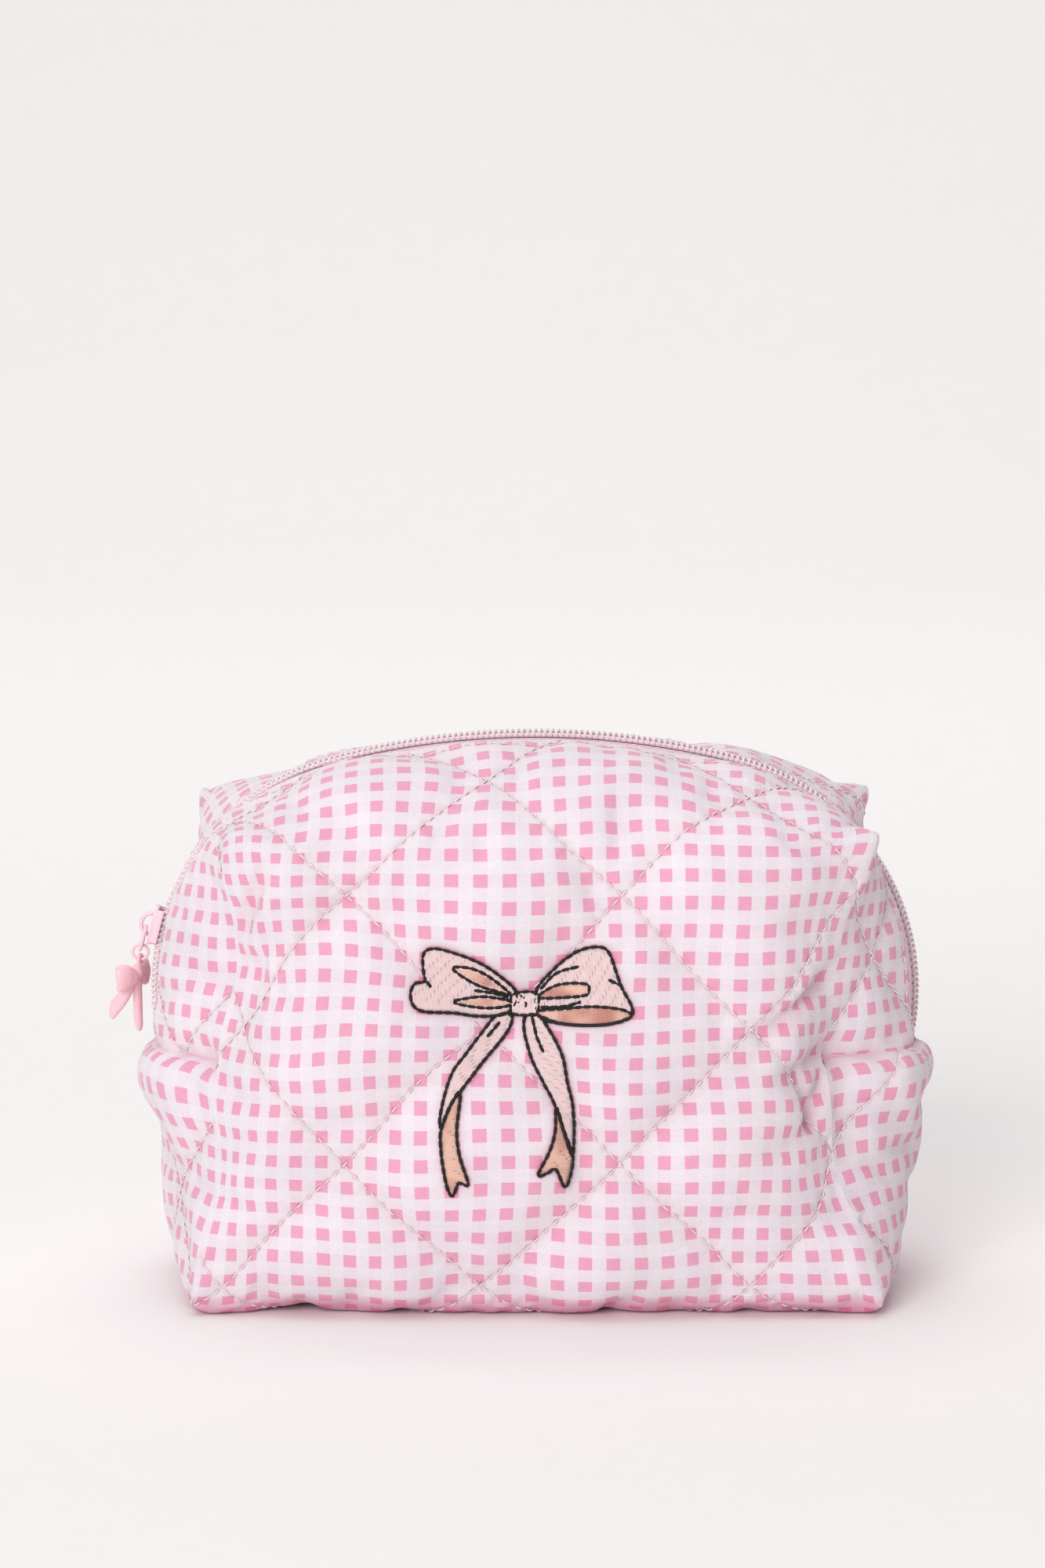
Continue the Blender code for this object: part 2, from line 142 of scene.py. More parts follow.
class Value:
    """A number or colour inside a node tree, which takes part in sums."""

    def __init__(self, nodes, socket):
        self.nodes = nodes
        self.socket = socket

    def __add__(self, other):
        return self.nodes.math("ADD", self, other)

    def __sub__(self, other):
        return self.nodes.math("SUBTRACT", self, other)

    def __mul__(self, other):
        return self.nodes.math("MULTIPLY", self, other)


class Nodes:
    """Short forms for building the nodes of a material or of the world."""

    def __init__(self, owner):
        owner.use_nodes = True
        self.owner = owner
        self.tree = owner.node_tree

    def put(self, socket, value):
        if isinstance(value, Value):
            self.tree.links.new(value.socket, socket)
        else:
            socket.default_value = (*value, 1) if socket.type == "RGBA" else value

    def node(self, kind, inputs=(), output=0, **settings):
        made = self.tree.nodes.new("ShaderNode" + kind)
        for key, value in settings.items():
            setattr(made, key, value)
        for key, value in dict(inputs).items():
            self.put(made.inputs[key], value)
        return Value(self, made.outputs[output])

    def math(self, operation, *values):
        return self.node("Math", enumerate(values), operation=operation)

    def mix(self, share, a, b, **settings):
        return self.node("Mix", {0: share, 6: a, 7: b}, 2, data_type="RGBA", **settings)

    def place(self):
        return self.node("TexCoord", output="Object")

    def noise(self, scale, detail=2.0, rough=0.5):
        inputs = {"Vector": self.place(), "Scale": scale, "Detail": detail, "Roughness": rough}
        return self.node("TexNoise", inputs)

    def uv(self):
        flat = self.node("UVMap", uv_map="cloth")
        return [self.node("SeparateXYZ", {0: flat}, k) for k in (0, 1)]

    def bump(self, height, strength, distance, under=None):
        inputs = {"Height": height, "Strength": strength, "Distance": distance}
        if under:
            inputs["Normal"] = under
        return self.node("Bump", inputs)

    def finish(self, colour, roughness, normal, **numbers):
        shader = self.tree.nodes["Principled BSDF"].inputs
        numbers |= {"Base Color": colour, "Roughness": roughness, "Normal": normal}
        for key, value in numbers.items():
            self.put(shader[key.replace("_", " ")], value)
        return self.owner


WHITE = (0.87, 0.82, 0.87)
PINK = (0.86, 0.40, 0.56)
# Greyish pink painted along each quilting line as painted shade of its groove.
PAINTED_GROOVE_SHADE = (0.74, 0.52, 0.59)
# Painted fold shade: the pink that folds are multiplied towards, how strongly, and how far ambient
# occlusion looks for nearby cloth.
PAINTED_FOLD_PINK = (0.92, 0.50, 0.62)
PAINTED_FOLD_STRENGTH = 1.8
PAINTED_FOLD_REACH = 6 * MM
THREAD = 0.42 * MM  # spacing of the threads in the weave
BAND_EDGE = 0.12 * MM  # half the soft edge of a dyed band
GATHER_PITCH = 7 * MM


def scaled(colour, share):
    return tuple(c * share for c in colour)


def band(n, value, period):
    """1 in one half of each period and 0 in the other, with slightly soft edges."""
    wave = n.math("PINGPONG", value, period / 2)
    inputs = {"Value": wave, "From Min": period / 4 - BAND_EDGE, "From Max": period / 4 + BAND_EDGE}
    return n.node("MapRange", inputs, interpolation_type="SMOOTHSTEP")


def weave_height(n, u, v, pitch):
    """Over-and-under height of a plain weave, and 1 where the warp is on top."""
    over = n.math("SINE", u * (pi / pitch)) * n.math("SINE", v * (pi / pitch))
    return n.math("ABSOLUTE", over), n.math("GREATER_THAN", over, 0.0)


def painted_fold_shade(n, shade):
    """Painted shade: where ambient occlusion finds cloth close by, the colour is multiplied towards
    pink, standing in for the shade in a fold and the light that goes from cloth to cloth there.
    """
    open_share = n.node("AmbientOcclusion", {"Distance": PAINTED_FOLD_REACH}, "AO", samples=6)
    # The fold's colour, darkened and pinkened as painted shade.
    deep = n.mix(1.0, shade, PAINTED_FOLD_PINK, blend_type="MULTIPLY")
    return n.mix((open_share * -1 + 1) * PAINTED_FOLD_STRENGTH, shade, deep)


def gingham(name):
    """White and pink bands in warp and weft, with the puckers and needle lines of the quilting; the
    needle lines and the folds are also darkened as painted shade.
    """
    n = Nodes(bpy.data.materials.new(name))
    u, v = n.uv()
    drift = (n.noise(45, 1) - 0.5) * (0.7 * MM)
    warp_dyed, weft_dyed = (band(n, way + drift, REPEAT) for way in (u, v))
    height, warp_up = weave_height(n, u, v, THREAD)
    tone = n.math("POWER", (warp_dyed + weft_dyed) * 0.5, 3.4)
    top = n.node("Mix", {0: warp_up, 2: weft_dyed, 3: warp_dyed})
    dyed = n.node("Mix", {0: 0.3, 2: tone, 3: top * (tone * 0.8 + 0.2)})
    slub = n.noise(900, 3, 0.7)
    patchy = (n.noise(60, 3) - 0.5) * 0.2
    puckers, painted_groove_share = pucker_height(n, u, v)
    # Painted shade: the colour darkens towards greyish pink along each quilting line.
    shade = n.mix(painted_groove_share * 0.28, n.mix(dyed, WHITE, PINK), PAINTED_GROOVE_SHADE)
    # The colour gets painted pink shade where ambient occlusion finds nearby cloth.
    inputs = {"Color": painted_fold_shade(n, shade), "Value": slub * 0.1 + 0.94 + patchy}
    normal = n.bump(height, 0.6, 0.14 * MM)
    normal = n.bump(slub, 0.3, 0.15 * MM, normal)
    normal = n.bump(puckers, 0.8, 0.6 * MM, normal)
    return n.finish(
        n.node("HueSaturation", inputs), slub * 0.15 + 0.78, normal,
        Sheen_Weight=0.25, Sheen_Roughness=0.5, Specular_IOR_Level=0.25,
    )


def pucker_height(n, u, v):
    """Small gathers that run across each quilting line, the groove that its needle pulls down, and
    a narrow mask along each line where painted shade darkens the colour.
    """
    period = QUILT * CELL
    heights, lines = [], []
    for sign, offset in ((1, QUILT_FALLING), (-1, 0)):
        across = n.math("PINGPONG", u + v * sign - offset * CELL, period)
        distance = n.math("MINIMUM", across, across * -1 + period)
        along = u - v * sign + n.noise(90, 2) * (14 * MM)
        gathers = n.math("SINE", along * (2 * pi / GATHER_PITCH))
        fade, groove, line = (
            n.math("EXPONENT", distance * (-1 / (reach * MM))) for reach in (3.2, 0.7, 0.3)
        )
        heights.append(gathers * fade * 0.4 - groove * 0.5)
        # line is the narrow mask for the painted shade along the groove.
        lines.append(line)
    return heights[0] + heights[1], n.math("MAXIMUM", *lines)


def woven(name, colour, pitch=0.5 * MM, roughness=0.8):
    """A plain woven tape or lining in one colour."""
    n = Nodes(bpy.data.materials.new(name))
    x, y, z = (n.node("SeparateXYZ", {0: n.place()}, k) for k in range(3))
    height, _ = weave_height(n, x + z, y - z, pitch)
    cloudy = n.noise(180, 4)
    return n.finish(
        n.mix(cloudy * 0.9, colour, scaled(colour, 0.82)), cloudy * 0.12 + (roughness - 0.05),
        n.bump(height, 0.5, 0.15 * MM), Sheen_Weight=0.2, Specular_IOR_Level=0.25,
    )


def thread(name, colour, roughness=0.5, sheen=0.3, deep=None):
    """Twisted sewing thread with fine plies; deep is the other shade of a variegated thread."""
    n = Nodes(bpy.data.materials.new(name))
    u, v = n.uv()
    ply = n.math("SINE", (u + v) * (2 * pi / (0.35 * MM)))
    cloudy = n.noise(700, 2)
    shade = n.mix(cloudy, colour, scaled(colour, 0.8))
    if deep:
        share = n.node("Clamp", {0: (n.noise(130, 1) - 0.44) * 6})
        shade = n.mix(share, shade, deep)
    return n.finish(
        shade, cloudy * 0.16 + (roughness - 0.08), n.bump(ply, 0.3, 0.06 * MM),
        Sheen_Weight=sheen, Specular_IOR_Level=0.4,
    )


def nylon(name, colour):
    n = Nodes(bpy.data.materials.new(name))
    cloudy = n.noise(400, 3)
    return n.finish(
        n.mix(cloudy, colour, scaled(colour, 0.85)), cloudy * 0.12 + 0.28,
        n.bump(cloudy, 0.08, 0.1 * MM), Subsurface_Weight=0.1, Subsurface_Scale=0.001,
    )


def enamel(name, colour, roughness):
    """Painted metal or soft enamel: slightly uneven, duller where it has been handled."""
    n = Nodes(bpy.data.materials.new(name))
    wear = n.noise(260, 3)
    pale = tuple(mix(c, 1, 0.12) for c in colour)
    return n.finish(
        n.mix(wear, colour, pale), wear * 0.18 + roughness,
        n.bump(n.noise(2500, 3, 0.6), 0.06, 0.1 * MM), Coat_Weight=0.35, Coat_Roughness=0.15,
    )


def plaster(name, colour):
    """The seamless paper of the studio floor."""
    n = Nodes(bpy.data.materials.new(name))
    fibre = n.noise(60, 3)
    return n.finish(n.mix(fibre, colour, scaled(colour, 0.985)), 0.9, n.bump(fibre, 0.02, 1 * MM))


# ---------------------------------------------------------------- small mesh tools


def new_object(name, data):
    obj = bpy.data.objects.new(name, data)
    bpy.context.scene.collection.objects.link(obj)
    return obj


def object_from(name, verts, faces, material, uvs=None):
    mesh = bpy.data.meshes.new(name)
    mesh.from_pydata([tuple(v) for v in verts], [], [tuple(f) for f in faces])
    if uvs is not None:
        layer = mesh.uv_layers.new(name="cloth")
        layer.data.foreach_set("uv", np.asarray(uvs, dtype=np.float32).ravel())
    mesh.shade_smooth()
    mesh.materials.append(material)
    return new_object(name, mesh)


def object_from_work(name, work, material):
    mesh = bpy.data.meshes.new(name)
    work.to_mesh(mesh)
    work.free()
    mesh.materials.append(material)
    return new_object(name, mesh)


def apply_modifiers(obj):
    shaped = obj.evaluated_get(bpy.context.evaluated_depsgraph_get())
    mesh = bpy.data.meshes.new_from_object(shaped)
    obj.modifiers.clear()
    obj.data = mesh


def attach(obj, body, slot, *nodes):
    """Puts a piece on its body, or for the front or back only bakes its placement into its mesh,
    and hides the CAD nodes it stands in for.
    """
    if body in SIDES:
        open_with(obj, body)
    else:
        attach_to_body(obj, body)
    if nodes:
        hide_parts(*nodes)


class Tubes:
    """Collects many short tubes of thread into one mesh."""

    def __init__(self, sides=6):
        self.sides = sides
        self.verts = []
        self.faces = []
        self.uvs = []

    def add(self, points, widths, ups, flat=1.0):
        """A tube along points. widths are its radii, and flat squashes it towards the cloth."""
        sides, count, start = self.sides, len(points), len(self.verts)
        widths = widths if isinstance(widths, list) else [widths] * count
        ups = ups if isinstance(ups, list) else [ups] * count
        runs = [0.0]
        for k, point in enumerate(points):
            before, after = points[max(k - 1, 0)], points[min(k + 1, count - 1)]
            tangent = (after - before).normalized()
            side = tangent.cross(ups[k]).normalized()
            rise = side.cross(tangent).normalized()
            if k:
                runs.append(runs[-1] + (point - points[k - 1]).length)
            for j in range(sides):
                angle = 2 * pi * j / sides
                offset = side * cos(angle) + rise * (sin(angle) * flat)
                self.verts.append(point + offset * widths[k])
        for k, j in product(range(count - 1), range(sides)):
            a = start + k * sides + j
            b = start + k * sides + (j + 1) % sides
            self.faces.append((a, b, b + sides, a + sides))
            w0, w1 = j * 0.2 * MM, (j + 1) * 0.2 * MM
            self.uvs += [(runs[k], w0), (runs[k], w1), (runs[k + 1], w1), (runs[k + 1], w0)]
        last = start + (count - 1) * sides
        self.faces.append(tuple(start + j for j in reversed(range(sides))))
        self.faces.append(tuple(last + j for j in range(sides)))
        self.uvs += [(0, 0)] * (2 * sides)

    def make(self, name, material):
        return object_from(name, self.verts, self.faces, material, self.uvs)


def walk(points, spacing):
    """Points at even distances along a polyline."""
    lengths = [0.0]
    for a, b in zip(points, points[1:]):
        lengths.append(lengths[-1] + (b - a).length)
    count = max(1, int(lengths[-1] / spacing))
    found = []
    k = 0
    for step in range(count + 1):
        target = lengths[-1] * step / count
        while k < len(points) - 2 and lengths[k + 1] < target:
            k += 1
        gap = lengths[k + 1] - lengths[k]
        share = (target - lengths[k]) / gap if gap else 0
        found.append(points[k].lerp(points[k + 1], share))
    return found


# ---------------------------------------------------------------- the bag's shape


def zip_point(s):
    """The zip's line as x and z, at a distance along it from the middle of the top."""
    reach = abs(s)
    if reach <= CROWN_HALF:
        angle = reach / CROWN_RADIUS
        x, z = CROWN_RADIUS * sin(angle), CROWN_CENTRE_Z + CROWN_RADIUS * cos(angle)
    else:
        angle = CORNER_START + (reach - CROWN_HALF) / CORNER_RADIUS
        x, z = CORNER_X + CORNER_RADIUS * sin(angle), CORNER_Z + CORNER_RADIUS * cos(angle)
    return (x if s >= 0 else -x), z


def fold_point(s):
    """The top fold and the box seams below its ends, as x and z."""
    reach = abs(s)
    side = 1 if s >= 0 else -1
    if reach <= HALF_WIDTH:
        return s, FOLD_Z
    return side * HALF_WIDTH, FOLD_Z - (reach - HALF_WIDTH)


def top_point(s, y):
    """The strip between the zip and the fold, over the top and down both ends."""
    zip_x, zip_z = zip_point(s)
    fold_x, fold_z = fold_point(s)
    share = (abs(y) / HALF_DEPTH) ** CROWN_POWER
    return Vector((mix(zip_x, fold_x, share), y, mix(zip_z, fold_z, share)))


def zip_up(s):
    ax, az = zip_point(s - MM)
    bx, bz = zip_point(s + MM)
    return Vector((az - bz, 0, bx - ax)).normalized()


def column_s(column):
    """Distance along the zip and the fold of a column of the cloth."""
    if column < 0:
        return -HALF_WIDTH + column * (FOLD_Z - SEAM_Z) / ROWS_ABOVE
    if column > COLUMNS:
        return HALF_WIDTH + (column - COLUMNS) * (FOLD_Z - SEAM_Z) / ROWS_ABOVE
    return mix(-HALF_WIDTH, HALF_WIDTH, column / COLUMNS)


def row_z(row):
    if row <= ROWS_BELOW:
        return SEAM_Z * row / ROWS_BELOW
    return mix(SEAM_Z, FOLD_Z, (row - ROWS_BELOW) / ROWS_ABOVE)


def panel_point(side, column, row):
    x, z = column_s(column), row_z(row)
    middle = FOLD_Z / 2
    swell = (1 - (x / HALF_WIDTH) ** 2) * max(0, 1 - ((z - middle) / middle) ** 2)
    return Vector((x, side * (HALF_DEPTH + FRONT_CROWN * swell), z))


def base_point(column, row):
    y = mix(-HALF_DEPTH, HALF_DEPTH, row / BASE_ROWS)
    stretch = 1 + END_FOOT * (1 - (y / HALF_DEPTH) ** 2) / HALF_WIDTH
    return Vector((column_s(column) * stretch, y, 0))


def lower_end_point(side, row, across):
    """The lower end: it leans out to a rolled edge, then turns in to the seam."""
    y = mix(-HALF_DEPTH, HALF_DEPTH, across / BASE_ROWS)
    share = row / ROWS_BELOW
    seam = top_point(side * (HALF_WIDTH + FOLD_Z - SEAM_Z), y)
    bow = 1 - (y / HALF_DEPTH) ** 2
    lean = HALF_WIDTH + mix(END_FOOT, END_CROWN, min(share / ROLL_START, 1)) * bow
    if share <= ROLL_START:
        return Vector((side * lean, y, SEAM_Z * share))
    turn = (share - ROLL_START) / (1 - ROLL_START) * pi / 2
    x = mix(abs(seam.x), lean, cos(turn))
    rolled = mix(SEAM_Z * ROLL_START, seam.z, sin(turn) ** 0.8)
    return Vector((side * x, y, mix(SEAM_Z * share, rolled, min(1, 3 * bow))))


class Skin:
    """The cloth's grid sheets, with each vertex's place on the flat cloth."""

    def __init__(self):
        self.verts = []
        self.faces = []
        self.uvs = []
        self.sheets = []
        self.index = {}

    def vertex(self, point):
        """The vertex at a point: an old one where sheets meet, or a new one."""
        key = [round(c / (0.2 * MM)) for c in point]
        for step in product((0, -1, 1), repeat=3):
            near_key = tuple(a + b for a, b in zip(key, step))
            if near_key in self.index:
                return self.index[near_key]
        self.index[tuple(key)] = len(self.verts)
        self.verts.append(point)
        return len(self.verts) - 1

    def sheet(self, name, columns, rows, point, flat):
        """Adds a grid. point and flat give the place in space and on the flat cloth."""
        grid = [[self.vertex(point(i, j)) for j in range(rows + 1)] for i in range(columns + 1)]
        i, j = columns // 2, rows // 2
        a, b, c = (self.verts[k] for k in (grid[i][j], grid[i + 1][j], grid[i][j + 1]))
        flip = (b - a).cross(c - a).dot(a - Vector((0, 0, FOLD_Z / 2))) < 0
        for i, j in product(range(columns), range(rows)):
            corners = [(i, j), (i + 1, j), (i + 1, j + 1), (i, j + 1)]
            if flip:
                corners.reverse()
            self.faces.append([grid[a][b] for a, b in corners])
            self.uvs.append([flat(a, b) for a, b in corners])
            self.sheets.append(name)
        return grid


def strip_point(side, i, j):
    y = side * HALF_DEPTH * (1 - j / (BASE_ROWS / 2))
    return top_point(column_s(i - ROWS_ABOVE), y)


def hem_point(side, i, j):
    s = column_s(i - ROWS_ABOVE)
    edge = HALF_DEPTH * (1 - TOP_ROWS / (BASE_ROWS / 2))
    out, down = HEM[j]
    return top_point(s, side * (edge + out)) - zip_up(s) * down


def build_skin():
    skin = Skin()
    grids = {}
    strip = COLUMNS + 2 * ROWS_ABOVE
    for face, side in SIDES.items():
        top, hem = face + "_top", face + "_hem"
        grids[face] = skin.sheet(face, COLUMNS, ROWS, partial(panel_point, side), FLAT[face])
        grids[top] = skin.sheet(face, strip, TOP_ROWS, partial(strip_point, side), FLAT[top])

        def under(i, j, top=top):
            return FLAT[top](i, TOP_ROWS + j)

        grids[hem] = skin.sheet(hem, strip, 2, partial(hem_point, side), under)
    grids["base"] = skin.sheet("base", COLUMNS, BASE_ROWS, base_point, FLAT["base"])
    for side in (-1, 1):
        end = f"end{side}"
        lower = partial(lower_end_point, side)
        grids[end] = skin.sheet("base", ROWS_BELOW, BASE_ROWS, lower, FLAT[end])
    return skin, grids


def on_quilting(column, row):
    return (column + row - QUILT_FALLING) % QUILT == 0 or (column - row) % QUILT == 0


# ---------------------------------------------------------------- cloth simulation

SIM_SCALE = 10  # the solver is happier with a bag two metres wide
SIM_FRAMES = 18
CAP = 6 * MM  # the farthest that a point may move
CLOTH = {
    "quality": 6, "mass": 0.15, "air_damping": 4, "tension_stiffness": 12,
    "compression_stiffness": 12, "shear_stiffness": 4, "bending_stiffness": 0.15,
    "vertex_group_mass": "held", "shrink_min": -0.035, "use_pressure": True,
    "uniform_pressure_force": 2.6,
}


def vertex_normals(verts, faces):
    normals = np.zeros_like(verts)
    quads = np.asarray(faces)
    a, b, c, d = (verts[quads[:, k]] for k in range(4))
    face_normals = np.cross(c - a, d - b)
    for k in range(4):
        np.add.at(normals, quads[:, k], face_normals)
    lengths = np.linalg.norm(normals, axis=1, keepdims=True)
    return normals / np.maximum(lengths, 1e-12)


def pucker(verts, faces, pinned):
    """Cloth held at its seams and quilting, with a little air and spare cloth between."""
    mesh = bpy.data.meshes.new("cloth_sim")
    mesh.from_pydata([tuple(v * SIM_SCALE) for v in verts], [], [tuple(f) for f in faces])
    obj = new_object("cloth_sim", mesh)
    group = obj.vertex_groups.new(name="held")
    group.add([int(k) for k in np.flatnonzero(pinned)], 1.0, "REPLACE")
    cloth = obj.modifiers.new("cloth", "CLOTH")
    for key, value in CLOTH.items():
        setattr(cloth.settings, key, value)
    cloth.settings.effector_weights.gravity = 0
    cloth.collision_settings.use_collision = False
    cloth.point_cache.frame_start = 1
    cloth.point_cache.frame_end = SIM_FRAMES
    scene = bpy.context.scene
    for number in range(1, SIM_FRAMES + 1):
        scene.frame_set(number)
    shaped = obj.evaluated_get(bpy.context.evaluated_depsgraph_get())
    moved = np.empty(len(verts) * 3)
    shaped.data.vertices.foreach_get("co", moved)
    scene.frame_set(1)
    bpy.data.objects.remove(obj)
    shift = moved.reshape(-1, 3) / SIM_SCALE - verts
    far = np.linalg.norm(shift, axis=1, keepdims=True)
    return verts + shift * np.minimum(1, CAP / np.maximum(far, 1e-9))


def shaped_cloth(skin, grids):
    """Places of the skin's vertices: quilted, creased and puffed, and before the quilting."""
    base = np.array([tuple(v) for v in skin.verts])
    quilting = np.zeros(len(base), dtype=bool)
    seams = np.zeros(len(base), dtype=bool)
    for corners, flats in zip(skin.faces, skin.uvs):
        for vertex, (column, row) in zip(corners, flats):
            quilting[vertex] |= on_quilting(column, row)
    for face in SIDES:
        panel, top = grids[face], grids[face + "_top"]
        for line in (panel[0], panel[-1], top[0], top[-1], *grids[face + "_hem"]):
            seams[line] = True
    for side in (-1, 1):
        seams[grids[f"end{side}"][ROWS_BELOW]] = True
    form = base + creases(base, vertex_normals(base, skin.faces))
    form = form + rumple(base) * np.where(seams, 0.3, 1)[:, None]
    form = slack(form, skin, holding(base, grids))
    form += crease_shift(base, vertex_normals(form, skin.faces))
    normals = vertex_normals(form, skin.faces)
    wanted = form.copy()
    lowered = np.flatnonzero(quilting & ~seams)
    uneven = np.array([noise.noise(Vector(base[k]) * 55) for k in lowered])
    wanted[lowered] -= normals[lowered] * (0.9 + 0.7 * uneven)[:, None] * MM
    soft = pucker(wanted, skin.faces, quilting | seams)
    soft[:, 2] = np.maximum(soft[:, 2], 0.2 * MM)
    return soft, form


def near(distance, width):
    """1 at no distance, fading smoothly over about a width."""
    return np.exp(-((distance / width) ** 2))


def near_corner(base, side, face, height, width):
    corner = (side * HALF_WIDTH, face * HALF_DEPTH, height)
    return near(np.linalg.norm(base - corner, axis=1), width)


def ramp(value, width):
    return np.clip(value / width, 0, 1)


# How far each upright seam is drawn in, as heights and depths in mm, for its side and its face.
SEAM_PULLS = {
    (1, -1): (
        (3, 0), (20, 4), (26, 7), (37, 10), (47, 11), (64, 14.5), (76, 13), (96, 10), (118, 3),
    ),
    (-1, -1): ((3, 1), (30, 5), (60, 7), (72, 10), (85, 13), (100, 12), (112, 7), (119, 5)),
    (1, 1): ((3, 0), (30, 5), (64, 9), (90, 6), (118, 0)),
    (-1, 1): ((3, 0), (30, 4), (64, 8), (90, 6), (118, 0)),
}
# How far the top corners stand out and up, in mm.
EARS = ((1, -1, 1.8, 1.0), (1, 1, 0.8, 0.8), (-1, 1, 1.0, 0.8), (-1, -1, -3.0, -3.0))


def creases(base, normals):
    """Folds and slumps of soft cloth: pinched seams, ears, gathers and hollow ends."""
    shift = np.zeros_like(base)
    x, y, z = base.T
    right = x > 0
    for (side, face), pulls in SEAM_PULLS.items():
        heights, depths = np.array(pulls).T * MM
        away = np.hypot(x - side * HALF_WIDTH, y - face * HALF_DEPTH)
        drawn = near(away, 16 * MM) * np.interp(z, heights, depths)
        shift += np.outer(drawn, (-side, -face * 0.9, 0))
    shift += fillet(base, 1, HALF_DEPTH, 8 * MM) + fillet(base, 0, HALF_WIDTH + END_FOOT, 5 * MM)
    for side, face, out, rise in EARS:
        ear = near_corner(base, side, face, FOLD_Z, 10 * MM) * MM
        shift += np.outer(ear, (side * out, face * out * 0.7, rise))
    above = z - SEAM_Z
    upper_end = ramp(np.abs(x) - 0.86 * HALF_WIDTH, 7 * MM) * ramp(above, 5 * MM)
    gather = np.sin(y * 2 * pi / (9.5 * MM) + z * 40) * near(above, 32 * MM)
    shift += normals * (upper_end * gather * 1.2 * MM)[:, None]
    valley = np.isclose(z, SEAM_Z, atol=0.4 * MM) & (np.abs(x) > HALF_WIDTH)
    inward = valley * ramp(np.abs(y) - 7 * MM, 8 * MM) * 5
    end = ramp(np.abs(x) - 0.93 * HALF_WIDTH, 5 * MM)
    inward += end * (above < 0) * near(z - 36 * MM, 16 * MM) * np.where(right, 2.6, 3.8)
    upper = ramp(above, 8 * MM) * ramp(118 * MM - z, 16 * MM)
    beside_zip = near(np.abs(y) - 23 * MM, 13 * MM) * upper
    inward += end * beside_zip * np.where(right, 4, 1)
    shift[:, 0] -= np.sign(x) * inward * MM
    shoulder = near(x - 62 * MM, 24 * MM) * ramp(y - 8 * MM, 16 * MM) * ramp(z - 104 * MM, 14 * MM)
    shift[:, 2] += shoulder * 3.2 * MM
    return shift


def fillet(base, axis, half, radius):
    """Rounds the fold between the base and the walls that face along one axis."""
    reach = np.abs(base[:, axis])
    z = base[:, 2]
    wall = z > 0.05 * MM
    along = np.where(wall, z, reach - half)
    turning = (np.abs(along) < radius) & (reach > half - radius - 0.5 * MM)
    angle = pi / 4 * (1 - along / radius)
    out = half - radius + radius * np.cos(angle) - np.where(wall, half, half + along)
    up = radius - radius * np.sin(angle) - np.where(wall, along, 0)
    shift = np.zeros_like(base)
    shift[:, axis] = np.where(turning, out * np.sign(base[:, axis]), 0)
    shift[:, 2] = np.where(turning, up, 0)
    return shift


RUMPLE_SEED = 5  # noise_vector starts from the clock's time unless it is given a seed


def rumple(base):
    """The uneven lie of soft cloth over loose wadding."""
    noise.seed_set(RUMPLE_SEED)
    broad = np.array([noise.noise_vector(Vector(point) * 34) for point in base])
    fine = np.array([noise.noise_vector(Vector(point) * 95 + Vector((7, 3, 5))) for point in base])
    return broad * 2.4 * MM + fine * 0.9 * MM


# Creases pressed into the front (-1) or the back (1), from one point to another, as x and z in
# mm, with their depth and width.
CREASES = (
    (-1, (86, 67), (58, 59), 3.0, 3.0),
    (-1, (84, 58), (68, 42), 2.4, 3.0),
    (-1, (82, 85), (52, 70), 4.2, 2.8),
    (-1, (78, 48), (68, 64), 2.4, 2.6),
    (-1, (30, 46), (66, 76), 1.8, 4.0),
    (-1, (-84, 60), (-60, 50), 1.6, 3.6),
    (-1, (-80, 98), (-64, 120), 2.4, 3.2),
    (-1, (-78, 78), (-66, 104), 1.8, 3.0),
    (-1, (-40, 112), (-52, 96), 1.4, 3.6),
    (-1, (8, 118), (20, 100), 1.6, 4.0),
    (-1, (62, 120), (84, 108), 1.4, 3.0),
    (-1, (-24, 12), (4, 2), 1.4, 4.0),
    (-1, (30, 14), (14, 2), 1.2, 4.0),
    (1, (76, 65), (54, 57), 2.2, 3.0),
    (1, (-76, 64), (-52, 72), 2.2, 3.0),
    (1, (-20, 52), (26, 70), 1.4, 5.0),
    (1, (60, 112), (80, 98), 1.8, 3.0),
)


def crease_shift(base, normals):
    shift = np.zeros_like(base)
    for side, start, end, depth, width in CREASES:
        pressed = crease_depth(base, side, start, end, width * MM)
        shift -= normals * (pressed * (depth * MM))[:, None]
    return shift


def crease_depth(base, side, start, end, width):
    """1 along a crease on one face of the bag, fading beside it and towards its ends."""
    start, end = np.array(start) * MM, np.array(end) * MM
    flat = base[:, (0, 2)]
    run = end - start
    share = np.clip((flat - start) @ run / (run @ run), 0, 1)
    away = np.linalg.norm(flat - start - share[:, None] * run, axis=1)
    on_face = ramp(side * base[:, 1] / HALF_DEPTH - 0.6, 0.3)
    taper = np.sin(pi * np.clip(share * 0.8 + 0.2, 0, 1)) ** 0.6
    return near(away, width) * taper * on_face


SLACK_ROUNDS = 14


def slack(places, skin, held):
    """Rounds off the boxy form the way loose cloth does; held says how little each point gives."""
    edges = {tuple(sorted((f[k], f[(k + 1) % 4]))) for f in skin.faces for k in range(4)}
    a, b = np.array(sorted(edges)).T
    count = np.zeros(len(places))
    np.add.at(count, a, 1)
    np.add.at(count, b, 1)
    for _ in range(SLACK_ROUNDS):
        total = np.zeros_like(places)
        np.add.at(total, a, places[b])
        np.add.at(total, b, places[a])
        places = places + (total / count[:, None] - places) * (0.5 * (1 - held))[:, None]
    return places


